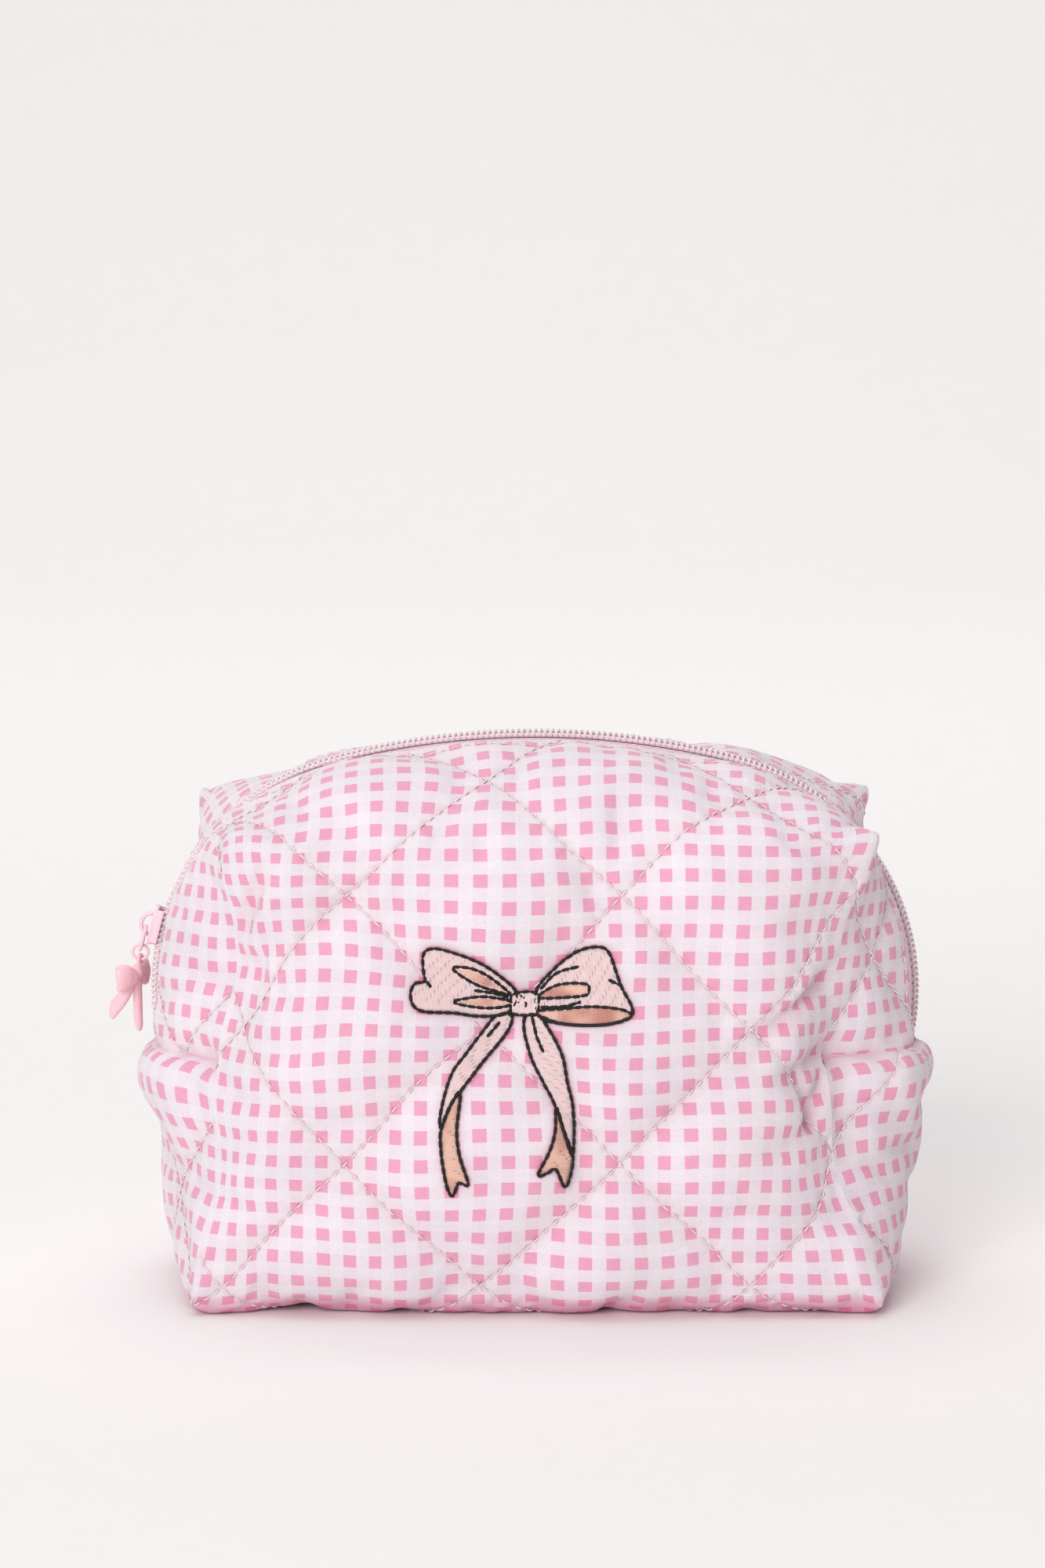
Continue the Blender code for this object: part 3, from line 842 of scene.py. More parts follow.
def holding(base, grids):
    """How firmly each point keeps its place while the form rounds off."""
    held = np.zeros(len(base))
    for face in SIDES:
        panel, top = grids[face], grids[face + "_top"]
        firm = [(line, 1.0) for line in grids[face + "_hem"]]
        firm.append(([column[TOP_ROWS - 1] for column in top], 0.8))
        firm += [(panel[0], 0.78), (panel[-1], 0.78), (top[0], 0.85), (top[-1], 0.85)]
        for line, share in firm:
            held[line] = share
    for side in (-1, 1):
        for row, column in enumerate(grids[f"end{side}"]):
            held[column] = np.maximum(held[column], 0.45 if row < ROWS_BELOW - 6 else 0.88)
    for side, face, share in ((1, -1, 0.9), (1, 1, 0.9), (-1, 1, 0.9), (-1, -1, 0.1)):
        ear = near_corner(base, side, face, FOLD_Z, 9 * MM)
        held = held * (1 - ear) + share * ear
    for side, face in product((-1, 1), repeat=2):
        held = np.maximum(held, 0.7 * near_corner(base, side, face, 0, 8 * MM))
    return held


# ---------------------------------------------------------------- pieces of cloth


def piece_of(name, skin, places, sheets, material, depth=0.0, inside=False):
    """One sewn piece of the skin as an object, kept at a depth below the cloth's face."""
    chosen = [k for k, sheet in enumerate(skin.sheets) if sheet in sheets]
    used = sorted({v for k in chosen for v in skin.faces[k]})
    order = {v: n for n, v in enumerate(used)}
    verts = places[used] - vertex_normals(places, skin.faces)[used] * depth
    faces, uvs = [], []
    turn = -1 if inside else 1
    for k in chosen:
        faces.append([order[v] for v in skin.faces[k]][::turn])
        uvs += [(a * CELL, b * CELL) for a, b in skin.uvs[k]][::turn]
    obj = object_from(name, verts, faces, material, uvs)
    smooth = obj.modifiers.new("smooth", "SUBSURF")
    smooth.levels = smooth.render_levels = 1
    smooth.boundary_smooth = "PRESERVE_CORNERS"
    apply_modifiers(obj)
    return obj


def mouth_weight(point, half):
    """How far a point of the top follows its lip: a lens that closes towards both ends."""
    s = abs(zip_distance(point))
    lens = smoothstep((MOUTH_SHUT - s) / (MOUTH_SHUT - MOUTH_WIDE))
    past_fold = max(HALF_DEPTH - half * point.y, (point.z - FOLD_Z) + 4 * MM)
    return lens * smoothstep(past_fold / (8 * MM)) if point.z > FOLD_Z - 8 * MM else 0.0


def zip_distance(point):
    """Distance along the zip of the part of its line nearest to a point."""
    angle = atan2(abs(point.x) - CORNER_X, point.z - CORNER_Z)
    if abs(point.x) > CORNER_X and angle > CORNER_START:
        return CROWN_HALF + (angle - CORNER_START) * CORNER_RADIUS
    return CROWN_RADIUS * asin(clamp(abs(point.x) / CROWN_RADIUS))


def open_with(obj, face):
    """Bakes a piece's placement into its mesh and works out how far each point would follow its
    lip; the weights are not kept.
    """
    half = SIDES[face]
    face + "_lip"
    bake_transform(obj)
    values = [mouth_weight(v.co, half) for v in obj.data.vertices]


# ---------------------------------------------------------------- stitching

STITCH = 3.1 * MM
STITCH_GAP = 1.1 * MM
# Along one stitch: the share of its length, its height, and its thickness.
STITCH_FORM = ((0, -0.6, 0.5), (0.15, 0.35, 0.95), (0.5, 1, 1), (0.85, 0.35, 0.95), (1, -0.6, 0.5))


def face_of(obj):
    mesh = obj.data
    return BVHTree.FromPolygons([v.co for v in mesh.vertices], [p.vertices for p in mesh.polygons])


def stitches(tubes, line, radius, proud, cloth=None, ups=None, stitch=STITCH, gap=STITCH_GAP):
    """Running stitches along a line on the cloth; each dives into it at both ends."""
    points = walk(line, stitch / 4)
    if cloth:
        points, ups = zip(*(cloth.find_nearest(point)[:2] for point in points))
    count = len(points) - 1
    for start in range(0, count - 3, 4):
        first, middle, last = points[start], points[start + 2], points[start + 4]
        up = ups[int(start / count * (len(ups) - 1))]
        cut = gap / stitch / 2
        a, b = first.lerp(last, cut), last.lerp(first, cut)
        bend = (middle - (first + last) / 2) * 0.5
        path = [
            a.lerp(b, share) + up * (height * proud) + (bend if height > 0 else bend * 0)
            for share, height, _ in STITCH_FORM
        ]
        tubes.add(path, [radius * width for _, _, width in STITCH_FORM], up, 0.75)


def quilting_lines(grid, flat):
    """Runs of grid cells under each quilting line of one sheet."""
    columns, rows = len(grid) - 1, len(grid[0]) - 1
    runs = []
    for step, first in ((1, 0), (-1, rows)):
        starts = [(i, first) for i in range(columns + 1)]
        starts += [(0, j) for j in range(rows + 1) if j != first]
        for i, j in starts:
            cells = []
            while 0 <= i <= columns and 0 <= j <= rows:
                cells.append((i, j))
                i, j = i + 1, j + step
            if len(cells) < 3:
                continue
            (a, b), (c, d) = (flat(*cell) for cell in cells[:2])
            falling = (c - a) * (d - b) < 0
            mark = (a + b - QUILT_FALLING) if falling else (a - b)
            if mark % QUILT == 0:
                runs.append(cells)
    return runs


BODY_OF = {"front": "front", "back": "back", "base": "root"}
SEWN_SHEETS = {
    "front": ("front", "front_top"),
    "back": ("back", "back_top"),
    "base": ("base", "end-1", "end1"),
}


def sew_quilting(grids, places, cloths):
    """The quilting thread on every wall, split by the piece of cloth that it is sewn into."""
    sewing = thread("quilting_thread", (0.95, 0.86, 0.89))
    for name, sheets in SEWN_SHEETS.items():
        tubes = Tubes(5)
        for sheet in sheets:
            grid = grids[sheet]
            for cells in quilting_lines(grid, FLAT[sheet]):
                line = [Vector(places[grid[i][j]]) for i, j in cells]
                stitches(tubes, line, 0.25 * MM, 0.3 * MM, cloths[name])
        if name in SIDES:
            line = [Vector(places[column[TOP_ROWS - 2]]) for column in grids[name + "_top"]]
            stitches(tubes, line, 0.21 * MM, 0.22 * MM, cloths[name])
        attach(tubes.make(f"{name}_quilting_thread", sewing), BODY_OF[name], "bow_thread")


# ---------------------------------------------------------------- zip

TAPE_DEPTH = 1.1 * MM
# Across the tape: how far from the zip's middle and how deep, in mm. Its hidden edge is deeper, to
# stay clear of the dips in the quilted cloth.
TAPE_STATIONS = ((0.9, 1.1), (3.2, 1.1), (5.5, 1.1), (8, 1.1), (11.5, 3.2))
TAPE_STEPS = 150
COIL_PITCH = 1.45 * MM
COIL_STEPS = 9  # points in one turn
ZIP_HALF = 146 * MM
TAPE_HALF = 153 * MM


def along_zip(half, steps):
    return [mix(-half, half, k / steps) for k in range(steps + 1)]


def zip_tape(face, material):
    half = SIDES[face]
    verts = [
        top_point(s, half * y * MM) - zip_up(s) * (depth * MM)
        for s in along_zip(TAPE_HALF, TAPE_STEPS)
        for y, depth in TAPE_STATIONS
    ]
    across = len(TAPE_STATIONS)
    faces, uvs = [], []
    for i, j in product(range(TAPE_STEPS), range(across - 1)):
        a = i * across + j
        faces.append([a, a + across, a + across + 1, a + 1][::half])
        uvs += [(i * 2 * MM, j * 2 * MM)] * 4
    obj = object_from(f"{face}_zip_tape_cloth", verts, faces, material, uvs)
    solidify = obj.modifiers.new("thickness", "SOLIDIFY")
    solidify.thickness = 0.55 * MM
    solidify.offset = -1
    apply_modifiers(obj)
    return obj


def zip_coil(face, material):
    """A nylon coil: a flattened spring whose heads mesh with the other side's."""
    half = SIDES[face]
    tubes = Tubes(6)
    points, ups = [], []
    for k in range(int(2 * ZIP_HALF / COIL_PITCH) * COIL_STEPS):
        s = -ZIP_HALF + (k / COIL_STEPS + (0.5 if half > 0 else 0)) * COIL_PITCH
        angle = 2 * pi * k / COIL_STEPS
        x, z = zip_point(s)
        up = zip_up(s)
        y = half * (1.25 * MM - 1.65 * MM * cos(angle))
        points.append(Vector((x, y, z)) + up * (0.62 * MM * sin(angle) - 0.2 * MM))
        side = Vector((0, -half * cos(angle), 0))
        ups.append((side + up * sin(angle)).normalized())
    tubes.add(points, 0.36 * MM, ups)
    spots = along_zip(ZIP_HALF, 200)
    core = [top_point(s, half * 1.9 * MM) - zip_up(s) * 0.45 * MM for s in spots]
    tubes.add(core, 0.62 * MM, [zip_up(s) for s in spots])
    return tubes.make(f"{face}_zip_coil_nylon", material)


def zip_stitching(face, material):
    """The row of sewing that holds each coil on its tape."""
    tubes = Tubes(5)
    spots = along_zip(ZIP_HALF, 286)
    depth = TAPE_DEPTH - 0.05 * MM
    line = [top_point(s, SIDES[face] * 3.6 * MM) - zip_up(s) * depth for s in spots]
    ups = [zip_up(s) for s in spots]
    stitches(tubes, line, 0.16 * MM, 0.12 * MM, None, ups, 2 * MM, 0.5 * MM)
    return tubes.make(f"{face}_zip_sewing", material)


def make_zip():
    tape = woven("zip_tape_weave", (0.95, 0.68, 0.77), 0.55 * MM)
    coil = nylon("zip_coil_nylon", (0.97, 0.83, 0.87))
    sewing = thread("zip_thread", (0.97, 0.88, 0.91))
    for face in SIDES:
        for kind, make, material in (("zip_tape", zip_tape, tape), ("zip_coil", zip_coil, coil)):
            nodes = [f"{end}{kind}_{face}" for end in ("", "left_", "right_")]
            attach(make(face, material), face, kind, *nodes)
        attach(zip_stitching(face, sewing), face, "zip_tape")


# ---------------------------------------------------------------- slider, link, ring and charm

# The slider's own axes at rest: X inward through the zip, Z up along it.
SLIDER_PLACE = Matrix.Translation((-CORNER_X, 0, CORNER_Z)) @ Matrix.Rotation(radians(15), 4, "Y")
SLIDER_PLACE = SLIDER_PLACE @ Matrix.Translation((-CORNER_RADIUS, 0, 0))
BRIDGE_FOOT = 2.6 * MM
BRIDGE_HALF = 2.7 * MM
BRIDGE_FLAT = 0.62


def plate(work, outline, low, high):
    """An upright plate in the slider's own axes, in mm, between two heights above the cover."""
    bottom, top = (
        [work.verts.new(Vector((-level, y, z)) * MM) for y, z in outline] for level in (low, high)
    )
    work.faces.new(bottom)
    work.faces.new(top[::-1])
    for a, b, c, d in zip(bottom, top, top[1:] + top[:1], bottom[1:] + bottom[:1]):
        work.faces.new((a, b, c, d))


def slider_outline(width, length):
    """Half-shield: round shoulders at the top, a waist and a narrower round tail."""
    points = []
    for k in range(40):
        angle = 2 * pi * k / 40
        z = length / 2 * sin(angle)
        taper = mix(0.74, 1.0, smoothstep((z / length + 0.5) * 1.15))
        y = width / 2 * taper * (abs(cos(angle)) ** 0.45) * (1 if cos(angle) >= 0 else -1)
        points.append((y, z))
    return points


def make_slider(paint):
    work = bmesh.new()
    plate(work, slider_outline(8.4, 10.3), 1.72, 2.7)
    plate(work, slider_outline(7.4, 10.2), -3.15, -2.25)
    for side in (-1, 1):
        rim = ((3.62, -4.2), (4.12, -3.9), (4.15, 4.4), (3.62, 4.6))
        plate(work, [(side * y, z) for y, z in rim], 0.15, 2.0)
    plate(work, [(0.35, -2.4), (0.35, -4.9), (-0.35, -4.9), (-0.35, -2.4)], -2.6, 2.0)
    bmesh.ops.recalc_face_normals(work, faces=work.faces)
    slider = object_from_work("enamelled_slider", work, paint)
    bevel = slider.modifiers.new("edges", "BEVEL")
    bevel.width = 0.3 * MM
    bevel.segments = 3
    bevel.limit_method = "ANGLE"
    apply_modifiers(slider)
    slider.data.shade_smooth()
    slider.data.transform(SLIDER_PLACE)
    tubes = Tubes(12)
    points = []
    for k in range(17):
        angle = pi * k / 16
        out = BRIDGE_FOOT + BRIDGE_HALF * sin(angle) ** 0.6
        points.append(SLIDER_PLACE @ Vector((-out, 0, BRIDGE_HALF * cos(angle))))
    tubes.add(points, 0.85 * MM, Vector((0, 1, 0)))
    bridge = tubes.make("slider_bridge", paint)
    flatten_bridge(bridge)
    attach(slider, "slider", "slider_enamel", "slider_body")
    attach(bridge, "slider", "slider_enamel")


def flatten_bridge(bridge):
    """Thins the bridge's bar across its bend, as a stamped strap."""
    back = SLIDER_PLACE.inverted()
    for vert in bridge.data.vertices:
        local = back @ vert.co
        reach = hypot(local.x + BRIDGE_FOOT, local.z)
        keep = mix(BRIDGE_HALF, reach, BRIDGE_FLAT) / reach if reach else 1
        local.x = (local.x + BRIDGE_FOOT) * keep - BRIDGE_FOOT
        local.z *= keep
        vert.co = SLIDER_PLACE @ local


def loop_wire(name, points, radius, material):
    """A closed loop of round wire."""
    curve = bpy.data.curves.new(name, "CURVE")
    curve.dimensions = "3D"
    curve.bevel_depth = radius
    curve.bevel_resolution = 4
    spline = curve.splines.new("NURBS")
    spline.points.add(len(points) - 1)
    for spot, point in zip(spline.points, points):
        spot.co = (*point, 1)
    spline.use_cyclic_u = True
    spline.order_u = 4
    curve.materials.append(material)
    path = new_object(name, curve)
    shaped = path.evaluated_get(bpy.context.evaluated_depsgraph_get())
    mesh = bpy.data.meshes.new_from_object(shaped)
    bpy.data.objects.remove(path)
    mesh.shade_smooth()
    return new_object(name, mesh)


# One side of the link: shares of its length past its two ends, and of its half-width.
LINK_FORM = ((-0.06, 0), (-0.02, 1), (0.3, 1.05), (0.7, 1.05), (1.02, 1), (1.06, 0))
LINK_HALF = 1.75 * MM


def make_charm(paint):
    """The link on the bridge, the jump ring and the puffed enamel bow."""
    top, foot = JOINTS["link_swing"], JOINTS["ring_swing"]
    points = []
    for side, form in ((1, LINK_FORM[:-1]), (-1, LINK_FORM[:0:-1])):
        for share, out in form:
            points.append(top.lerp(foot, share) + Vector((0, side * LINK_HALF * out, 0)))
    link = loop_wire("enamelled_link", points, 0.5 * MM, paint)
    attach(link, "link", "slider_enamel", "pull_link")
    low, high = (Vector(c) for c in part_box("charm_ring"))
    radius = ((high.z - low.z) / 2 - 0.4 * MM) * 1.05
    points = []
    for k in range(16):
        angle = 2 * pi * k / 16
        spot = Vector((cos(angle), 0.03 * sin(3 * angle), sin(angle)))
        points.append((low + high) / 2 + spot * radius)
    ring = loop_wire("enamelled_ring", points, 0.4 * MM, paint)
    attach(ring, "ring", "slider_enamel", "charm_ring")
    bow = puffed_bow(enamel("soft_enamel", (0.95, 0.55, 0.62), 0.35))
    attach(bow, "bow", "charm_enamel", "bow_charm")


KNOT_Z = -3.3  # below the eye, in mm
BOW_SWIVEL = radians(-22)
BOW_STAND = 0.8  # how far the bow hangs away from the bag, in mm


def puffed_bow(material):
    eye = Vector((JOINTS["bow_swing"].x, 0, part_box("bow_charm")[1][2] - 1.6 * MM))
    hang = Matrix.Translation(eye) @ Matrix.Rotation(BOW_SWIVEL, 4, "Z")
    hang = hang @ Matrix.Diagonal((MM, MM, MM, 1))
    work = bmesh.new()

    def lump(centre, size, about_x=0, about_z=0):
        turn = Matrix.Rotation(radians(about_z), 4, "Z") @ Matrix.Rotation(radians(about_x), 4, "X")
        place = hang @ Matrix.Translation(centre) @ turn @ Matrix.Diagonal((*size, 1))
        bmesh.ops.create_uvsphere(work, u_segments=24, v_segments=16, radius=1, matrix=place)

    lump((-0.2 - BOW_STAND, 0, KNOT_Z), (1.5, 1.9, 2.1))
    for side, lean in ((-1, -22), (1, 7)):
        for x, y, z, size, tilt in (
            (-0.9, 4.2, 0.2, (1.4, 4.2, 1.9), 24),
            (-0.9, 5.4, -0.7, (1.45, 3.0, 3.3), 0),
            (-0.8, 4.2, -2.2, (1.3, 4.0, 1.7), -22),
        ):
            lump((x - BOW_STAND, side * y, KNOT_Z + z), size, tilt * side, lean)
    for share in (0, 0.17, 0.33, 0.5, 0.67, 0.83, 1):
        width = mix(1.6, 1.15, share)
        x = -1.4 - 4.2 * share**1.4 - BOW_STAND
        lump((x, -1.6 - 1.2 * share, -6.2 - 6.6 * share), (1.1, width, 2.8), -14)
        x = -0.8 - 0.4 * share - BOW_STAND
        lump((x, 1.2 + 1.2 * share, -6.8 - 9.4 * share), (1.15, width, 3.2), 13)
    for k in range(12):
        angle = 2 * pi * k / 12
        lump((0, 1.15 * cos(angle), 1.15 * sin(angle)), (0.5, 0.55, 0.55))
    bow = object_from_work("enamel_bow", work, material)
    remesh = bow.modifiers.new("skin", "REMESH")
    remesh.mode = "VOXEL"
    remesh.voxel_size = 0.22 * MM
    soften = bow.modifiers.new("soften", "SMOOTH")
    soften.factor = 0.5
    soften.iterations = 6
    apply_modifiers(bow)
    bow.data.shade_smooth()
    return bow


# ---------------------------------------------------------------- embroidery

# Outlines are in millimetres from the knot, and the knot from the bag's middle and its base.
BOW_CENTRE = (-2.5, 80.0)
LEFT_LOOP = (
    (-2.1, 2.7), (-6.2, 7.2), (-10.4, 10.2), (-15.6, 12.4), (-21.5, 13.8), (-24.4, 12.6),
    (-24.6, 8.5), (-24.4, 5.3), (-26.9, 4.8), (-27.9, 2.4), (-27.2, -0.4), (-24.5, -1.9),
    (-17.9, -2.3), (-10.9, -3.0), (-4.0, -2.2),
)
RIGHT_LOOP = (
    (2.8, 2.7), (6.3, 7.6), (10.1, 10.9), (14.7, 13.3), (18.9, 13.7), (20.8, 11.9),
    (22.2, 8.1), (23.6, 4.3), (26.0, -0.2), (25.4, -2.8), (19.4, -4.4), (10.1, -4.5), (3.8, -3.0),
)
UPPER_LEFT_FOLD = ((-17.4, 9.0), (-13.2, 9.2), (-8.6, 7.0), (-3.6, 2.5), (-7.2, 3.5), (-12.3, 5.4))
LOWER_LEFT_FOLD = ((-17.2, 0.4), (-12.8, 1.9), (-8.6, 1.9), (-3.4, 0.6), (-4.2, -0.5), (-9.5, -0.9))
MIDDLE_RIGHT_FOLD = (
    (3.6, 1.5), (6.8, 4.0), (11.0, 5.0), (15.3, 4.9), (15.7, 3.6), (15.0, 2.4), (9.1, 1.6),
)
BOTTOM_RIGHT_FOLD = (
    (3.5, -1.8), (10.1, -0.9), (17.1, -0.2), (23.1, -0.7), (25.7, -1.8), (25.0, -2.9),
    (19.4, -4.4), (10.1, -4.5), (4.4, -3.1),
)
KNOT = (
    (-3.1, 2.3), (0, 2.9), (3.2, 2.2), (3.4, 0), (3.1, -2.4), (0, -2.8), (-3.0, -2.4), (-3.4, 0),
)
LEFT_TAIL = (
    (-7.0, -2.9), (-10.4, -7.1), (-14.6, -12.7), (-17.4, -16.5), (-19.3, -21.8), (-20.5, -27.4),
    (-20.3, -30.0), (-18.0, -24.5), (-15.4, -20.8), (-11.8, -16.1), (-8.6, -12.3), (-4.4, -7.1),
    (-3.0, -3.1),
)
LEFT_TAIL_BACK = (
    (-15.6, -21.2), (-18.2, -25.0), (-20.3, -30.5), (-20.4, -35.0), (-19.8, -40.2), (-18.8, -45.0),
    (-17.6, -46.9), (-16.6, -44.6), (-15.9, -43.4), (-13.7, -44.0), (-15.1, -39.3), (-16.0, -36.0),
    (-16.5, -30.3),
)
RIGHT_TAIL = (
    (0.4, -3.0), (0.0, -6.6), (1.7, -13.2), (4.5, -18.9), (7.3, -25.1), (9.1, -30.3), (11.0, -36.4),
    (11.7, -36.0), (11.9, -25.5), (10.5, -18.9), (9.4, -12.7), (7.3, -8.0), (3.8, -3.0),
)
RIGHT_TAIL_BACK = (
    (7.6, -25.6), (7.3, -31.2), (5.9, -36.0), (3.1, -41.7), (5.6, -41.2), (7.5, -40.4),
    (9.6, -45.2), (11.0, -42.1), (11.5, -37.0), (9.4, -31.0),
)
FOLD_LINES = (
    ((-12.3, 3.7), (-8.0, 3.0), (-4.2, 1.7)),
    ((-24.4, 5.4), (-23.6, 4.9), (-22.9, 3.9)),
    ((4.0, 3.4), (7.7, 7.2), (13.3, 9.0)),
    ((4.0, -0.9), (9.6, -0.4), (13.8, 0.8)),
    ((20.4, 6.2), (22.0, 5.5), (23.4, 4.9)),
    ((1.9, -3.2), (2.9, -7.5), (4.7, -11.6)),
    ((-6.0, -4.6), (-9.2, -8.2)),
    ((-1.6, 2.4), (0.2, 0.8), (0.4, -1.4)),
    ((-3.0, 0.6), (-1.4, 0.2), (-1.0, -1.0)),
)
# Outline, direction of the threads in degrees, and the colour, from the lowest layer up.
PATCHES = (
    (LEFT_TAIL_BACK, 12, "peach"),
    (RIGHT_TAIL_BACK, -8, "peach"),
    (LEFT_TAIL, 30, "blush"),
    (RIGHT_TAIL, -18, "blush"),
    (LEFT_LOOP, 84, "blush"),
    (RIGHT_LOOP, 98, "blush"),
    (UPPER_LEFT_FOLD, 66, "peach"),
    (LOWER_LEFT_FOLD, 82, "peach"),
    (MIDDLE_RIGHT_FOLD, 100, "peach"),
    (BOTTOM_RIGHT_FOLD, 84, "peach"),
    (KNOT, 70, "blush"),
)
# Each colour of satin thread, with its deeper shade where it is variegated.
SATINS = {"blush": ((0.94, 0.73, 0.73), None), "peach": ((0.93, 0.60, 0.49), (0.60, 0.27, 0.22))}
FILL_SPACING = 0.42  # between neighbouring threads, in millimetres
FILL_RUN = 8.0  # longest thread before it dives, in millimetres
FIRST_RISE = 0.12 * MM
LAYER_RISE = 0.10 * MM
OUTLINE_RISE = 0.5 * MM
OUTLINE_RADIUS = 0.43 * MM
UNDERLAY_STEP = 1.6


def spline_point(t, p, q, r, w):
    bend = 2 * p - 5 * q + 4 * r - w + t * (3 * (q - r) + w - p)
    return q + 0.5 * t * (r - p + t * bend)


def smooth_outline(points, closed=True, steps=5):
    """A Catmull-Rom curve through the points."""
    count = len(points)
    curve = []
    spans = count if closed else count - 1
    for k in range(spans):
        if closed:
            a, b, c, d = (points[(k + m) % count] for m in (-1, 0, 1, 2))
        else:
            a, b, c, d = (points[clamp(k + m, 0, count - 1)] for m in (-1, 0, 1, 2))
        for step in range(steps):
            t = step / steps
            curve.append(tuple(spline_point(t, *four) for four in zip(a, b, c, d)))
    if not closed:
        curve.append(points[-1])
    return curve


def on_front(cloth, x, z, rise):
    """The place on the front cloth at x and z from the knot, in millimetres, and the normal."""
    start = Vector(((BOW_CENTRE[0] + x) * MM, -0.12, (BOW_CENTRE[1] + z) * MM))
    hit, normal, _, _ = cloth.ray_cast(start, Vector((0, 1, 0)))
    if normal.y > 0:
        normal = -normal
    return hit + normal * rise, normal


def fill_threads(tubes, cloth, outline, angle, rise):
    """Parallel satin threads across an outline, in staggered runs."""
    turn, back = Matrix.Rotation(-radians(angle), 2), Matrix.Rotation(radians(angle), 2)
    flat = [turn @ Vector(p) for p in outline]
    low, high = min(p.y for p in flat), max(p.y for p in flat)
    for k in range(int((high - low) / FILL_SPACING) + 1):
        level = low + (k + 0.5) * FILL_SPACING
        cuts = []
        for a, b in zip(flat, flat[1:] + flat[:1]):
            if (a.y > level) != (b.y > level):
                cuts.append(mix(a.x, b.x, (level - a.y) / (b.y - a.y)))
        cuts.sort()
        for x0, x1 in zip(cuts[::2], cuts[1::2]):
            stagger = (0.3 + 0.7 * (k * 0.618) % 1) * FILL_RUN
            stops = [x0]
            while stops[-1] + stagger + 0.5 < x1:
                stops.append(stops[-1] + stagger)
                stagger = FILL_RUN
            stops = [stop for n, stop in enumerate(stops) if n == 0 or stop > x0 + 0.6] + [x1]
            for a, b in zip(stops, stops[1:]):
                satin_thread(tubes, cloth, back, a, b, level, rise)


def satin_thread(tubes, cloth, back, start, end, level, rise):
    count = max(2, ceil((end - start) / 1.3))
    points, ups = [], []
    for step in range(count + 1):
        share = step / count
        spot = back @ Vector((mix(start, end, share), level))
        edge = min(share, 1 - share) * (end - start)
        lift = rise + 0.22 * MM * clamp(edge / 0.7) ** 0.5 - 0.12 * MM
        point, normal = on_front(cloth, spot.x, spot.y, lift)
        points.append(point)
        ups.append(normal)
    tubes.add(points, 0.26 * MM, ups, 0.8)


def backing(cloth, outline, rise):
    """A thin patch of closely laid thread under the satin, so that no cloth shows through."""
    x0, z0 = (min(values) for values in zip(*outline))
    x1, z1 = (max(values) for values in zip(*outline))
    points = [Vector(p) for p in outline]
    edges = [(k, (k + 1) % len(points)) for k in range(len(points))]
    across, up = (int(length / UNDERLAY_STEP) for length in (x1 - x0, z1 - z0))
    for i, j in product(range(across), range(up)):
        points.append(Vector((x0 + (i + 0.5) * UNDERLAY_STEP, z0 + (j + 0.5) * UNDERLAY_STEP)))
    flat, _, faces, *_ = delaunay_2d_cdt(points, edges, [], 1, 1e-5)
    verts = [on_front(cloth, p.x, p.y, rise)[0] for p in flat]
    return verts, [tuple(reversed(face)) for face in faces]


def make_embroidery(cloth):
    for key, (colour, deep) in SATINS.items():
        satin = thread(f"{key}_satin_thread", colour, 0.42, 0.4, deep)
        tubes = Tubes(5)
        verts, faces = [], []
        for level, (points, angle, used) in enumerate(PATCHES):
            if used != key:
                continue
            outline = smooth_outline(points)
            rise = FIRST_RISE + (level // 2) * LAYER_RISE
            fill_threads(tubes, cloth, outline, angle, rise)
            under, patch = backing(cloth, outline, rise)
            faces += [tuple(v + len(verts) for v in face) for face in patch]
            verts += under
        uvs = [(0, 0)] * 3 * len(faces)
        laid = tubes.make(f"{key}_satin_stitches", satin)
        ground = object_from(f"{key}_underlay_stitches", verts, faces, satin, uvs)
        for obj in (laid, ground):
            attach(obj, "root", "bow_thread", "embroidered_bow")
    tubes = Tubes(6)
    lines = [smooth_outline(points) for points, _, _ in PATCHES]
    lines = [line + line[:1] for line in lines]
    lines += [smooth_outline(points, False) for points in FOLD_LINES]
    for line in lines:
        path, ups = zip(*(on_front(cloth, x, z, OUTLINE_RISE) for x, z in line))
        outline_stitches(tubes, path, ups)
    ink = thread("black_outline_thread", (0.005, 0.005, 0.006), 0.6, 0.03)
    attach(tubes.make("black_outline_stitches", ink), "root", "bow_thread")


def outline_stitches(tubes, path, ups):
    """Close-set back stitches with a dip at each needle hole."""
    points = walk(path, 0.55 * MM)
    widths, lifted, normals = [], [], []
    for k, point in enumerate(points):
        up = ups[min(int(k / len(points) * len(ups)), len(ups) - 1)]
        proud = 1 if k % 4 else 0
        widths.append(OUTLINE_RADIUS * (1.0 if proud else 0.62))
        lifted.append(point + up * (0.1 * MM * proud))
        normals.append(up)
    tubes.add(lifted, widths, normals, 0.8)


# ---------------------------------------------------------------- the pieces of the bag

WALLS = {
    "front": ["front_panel", "front_lip", "left_end_front", "right_end_front"],
    "back": ["back_panel", "back_lip", "left_end_back", "right_end_back"],
    "base": ["base_panel", "left_end_lower", "right_end_lower"],
}


def make_cloth():
    skin, grids = build_skin()
    places, form = shaped_cloth(skin, grids)
    cover = gingham("quilted_gingham")
    lining = woven("lining_weave", (0.90, 0.84, 0.87), 0.45 * MM, 0.75)
    cloths = {}
    for name, nodes in WALLS.items():
        body = BODY_OF[name]
        obj = piece_of(f"{name}_quilted_cloth", skin, places, (name, name + "_hem"), cover)
        cloths[name] = face_of(obj)
        attach(obj, body, "gingham_cover", *nodes, *(node + "_wadding" for node in nodes))
        inner = piece_of(f"{name}_lining_cloth", skin, form, (name,), lining, WALL - 0.6 * MM, True)
        attach(inner, body, "lining", *(node + "_lining" for node in nodes))
    sew_quilting(grids, places, cloths)
    bind_seams(grids, form)
    return cloths


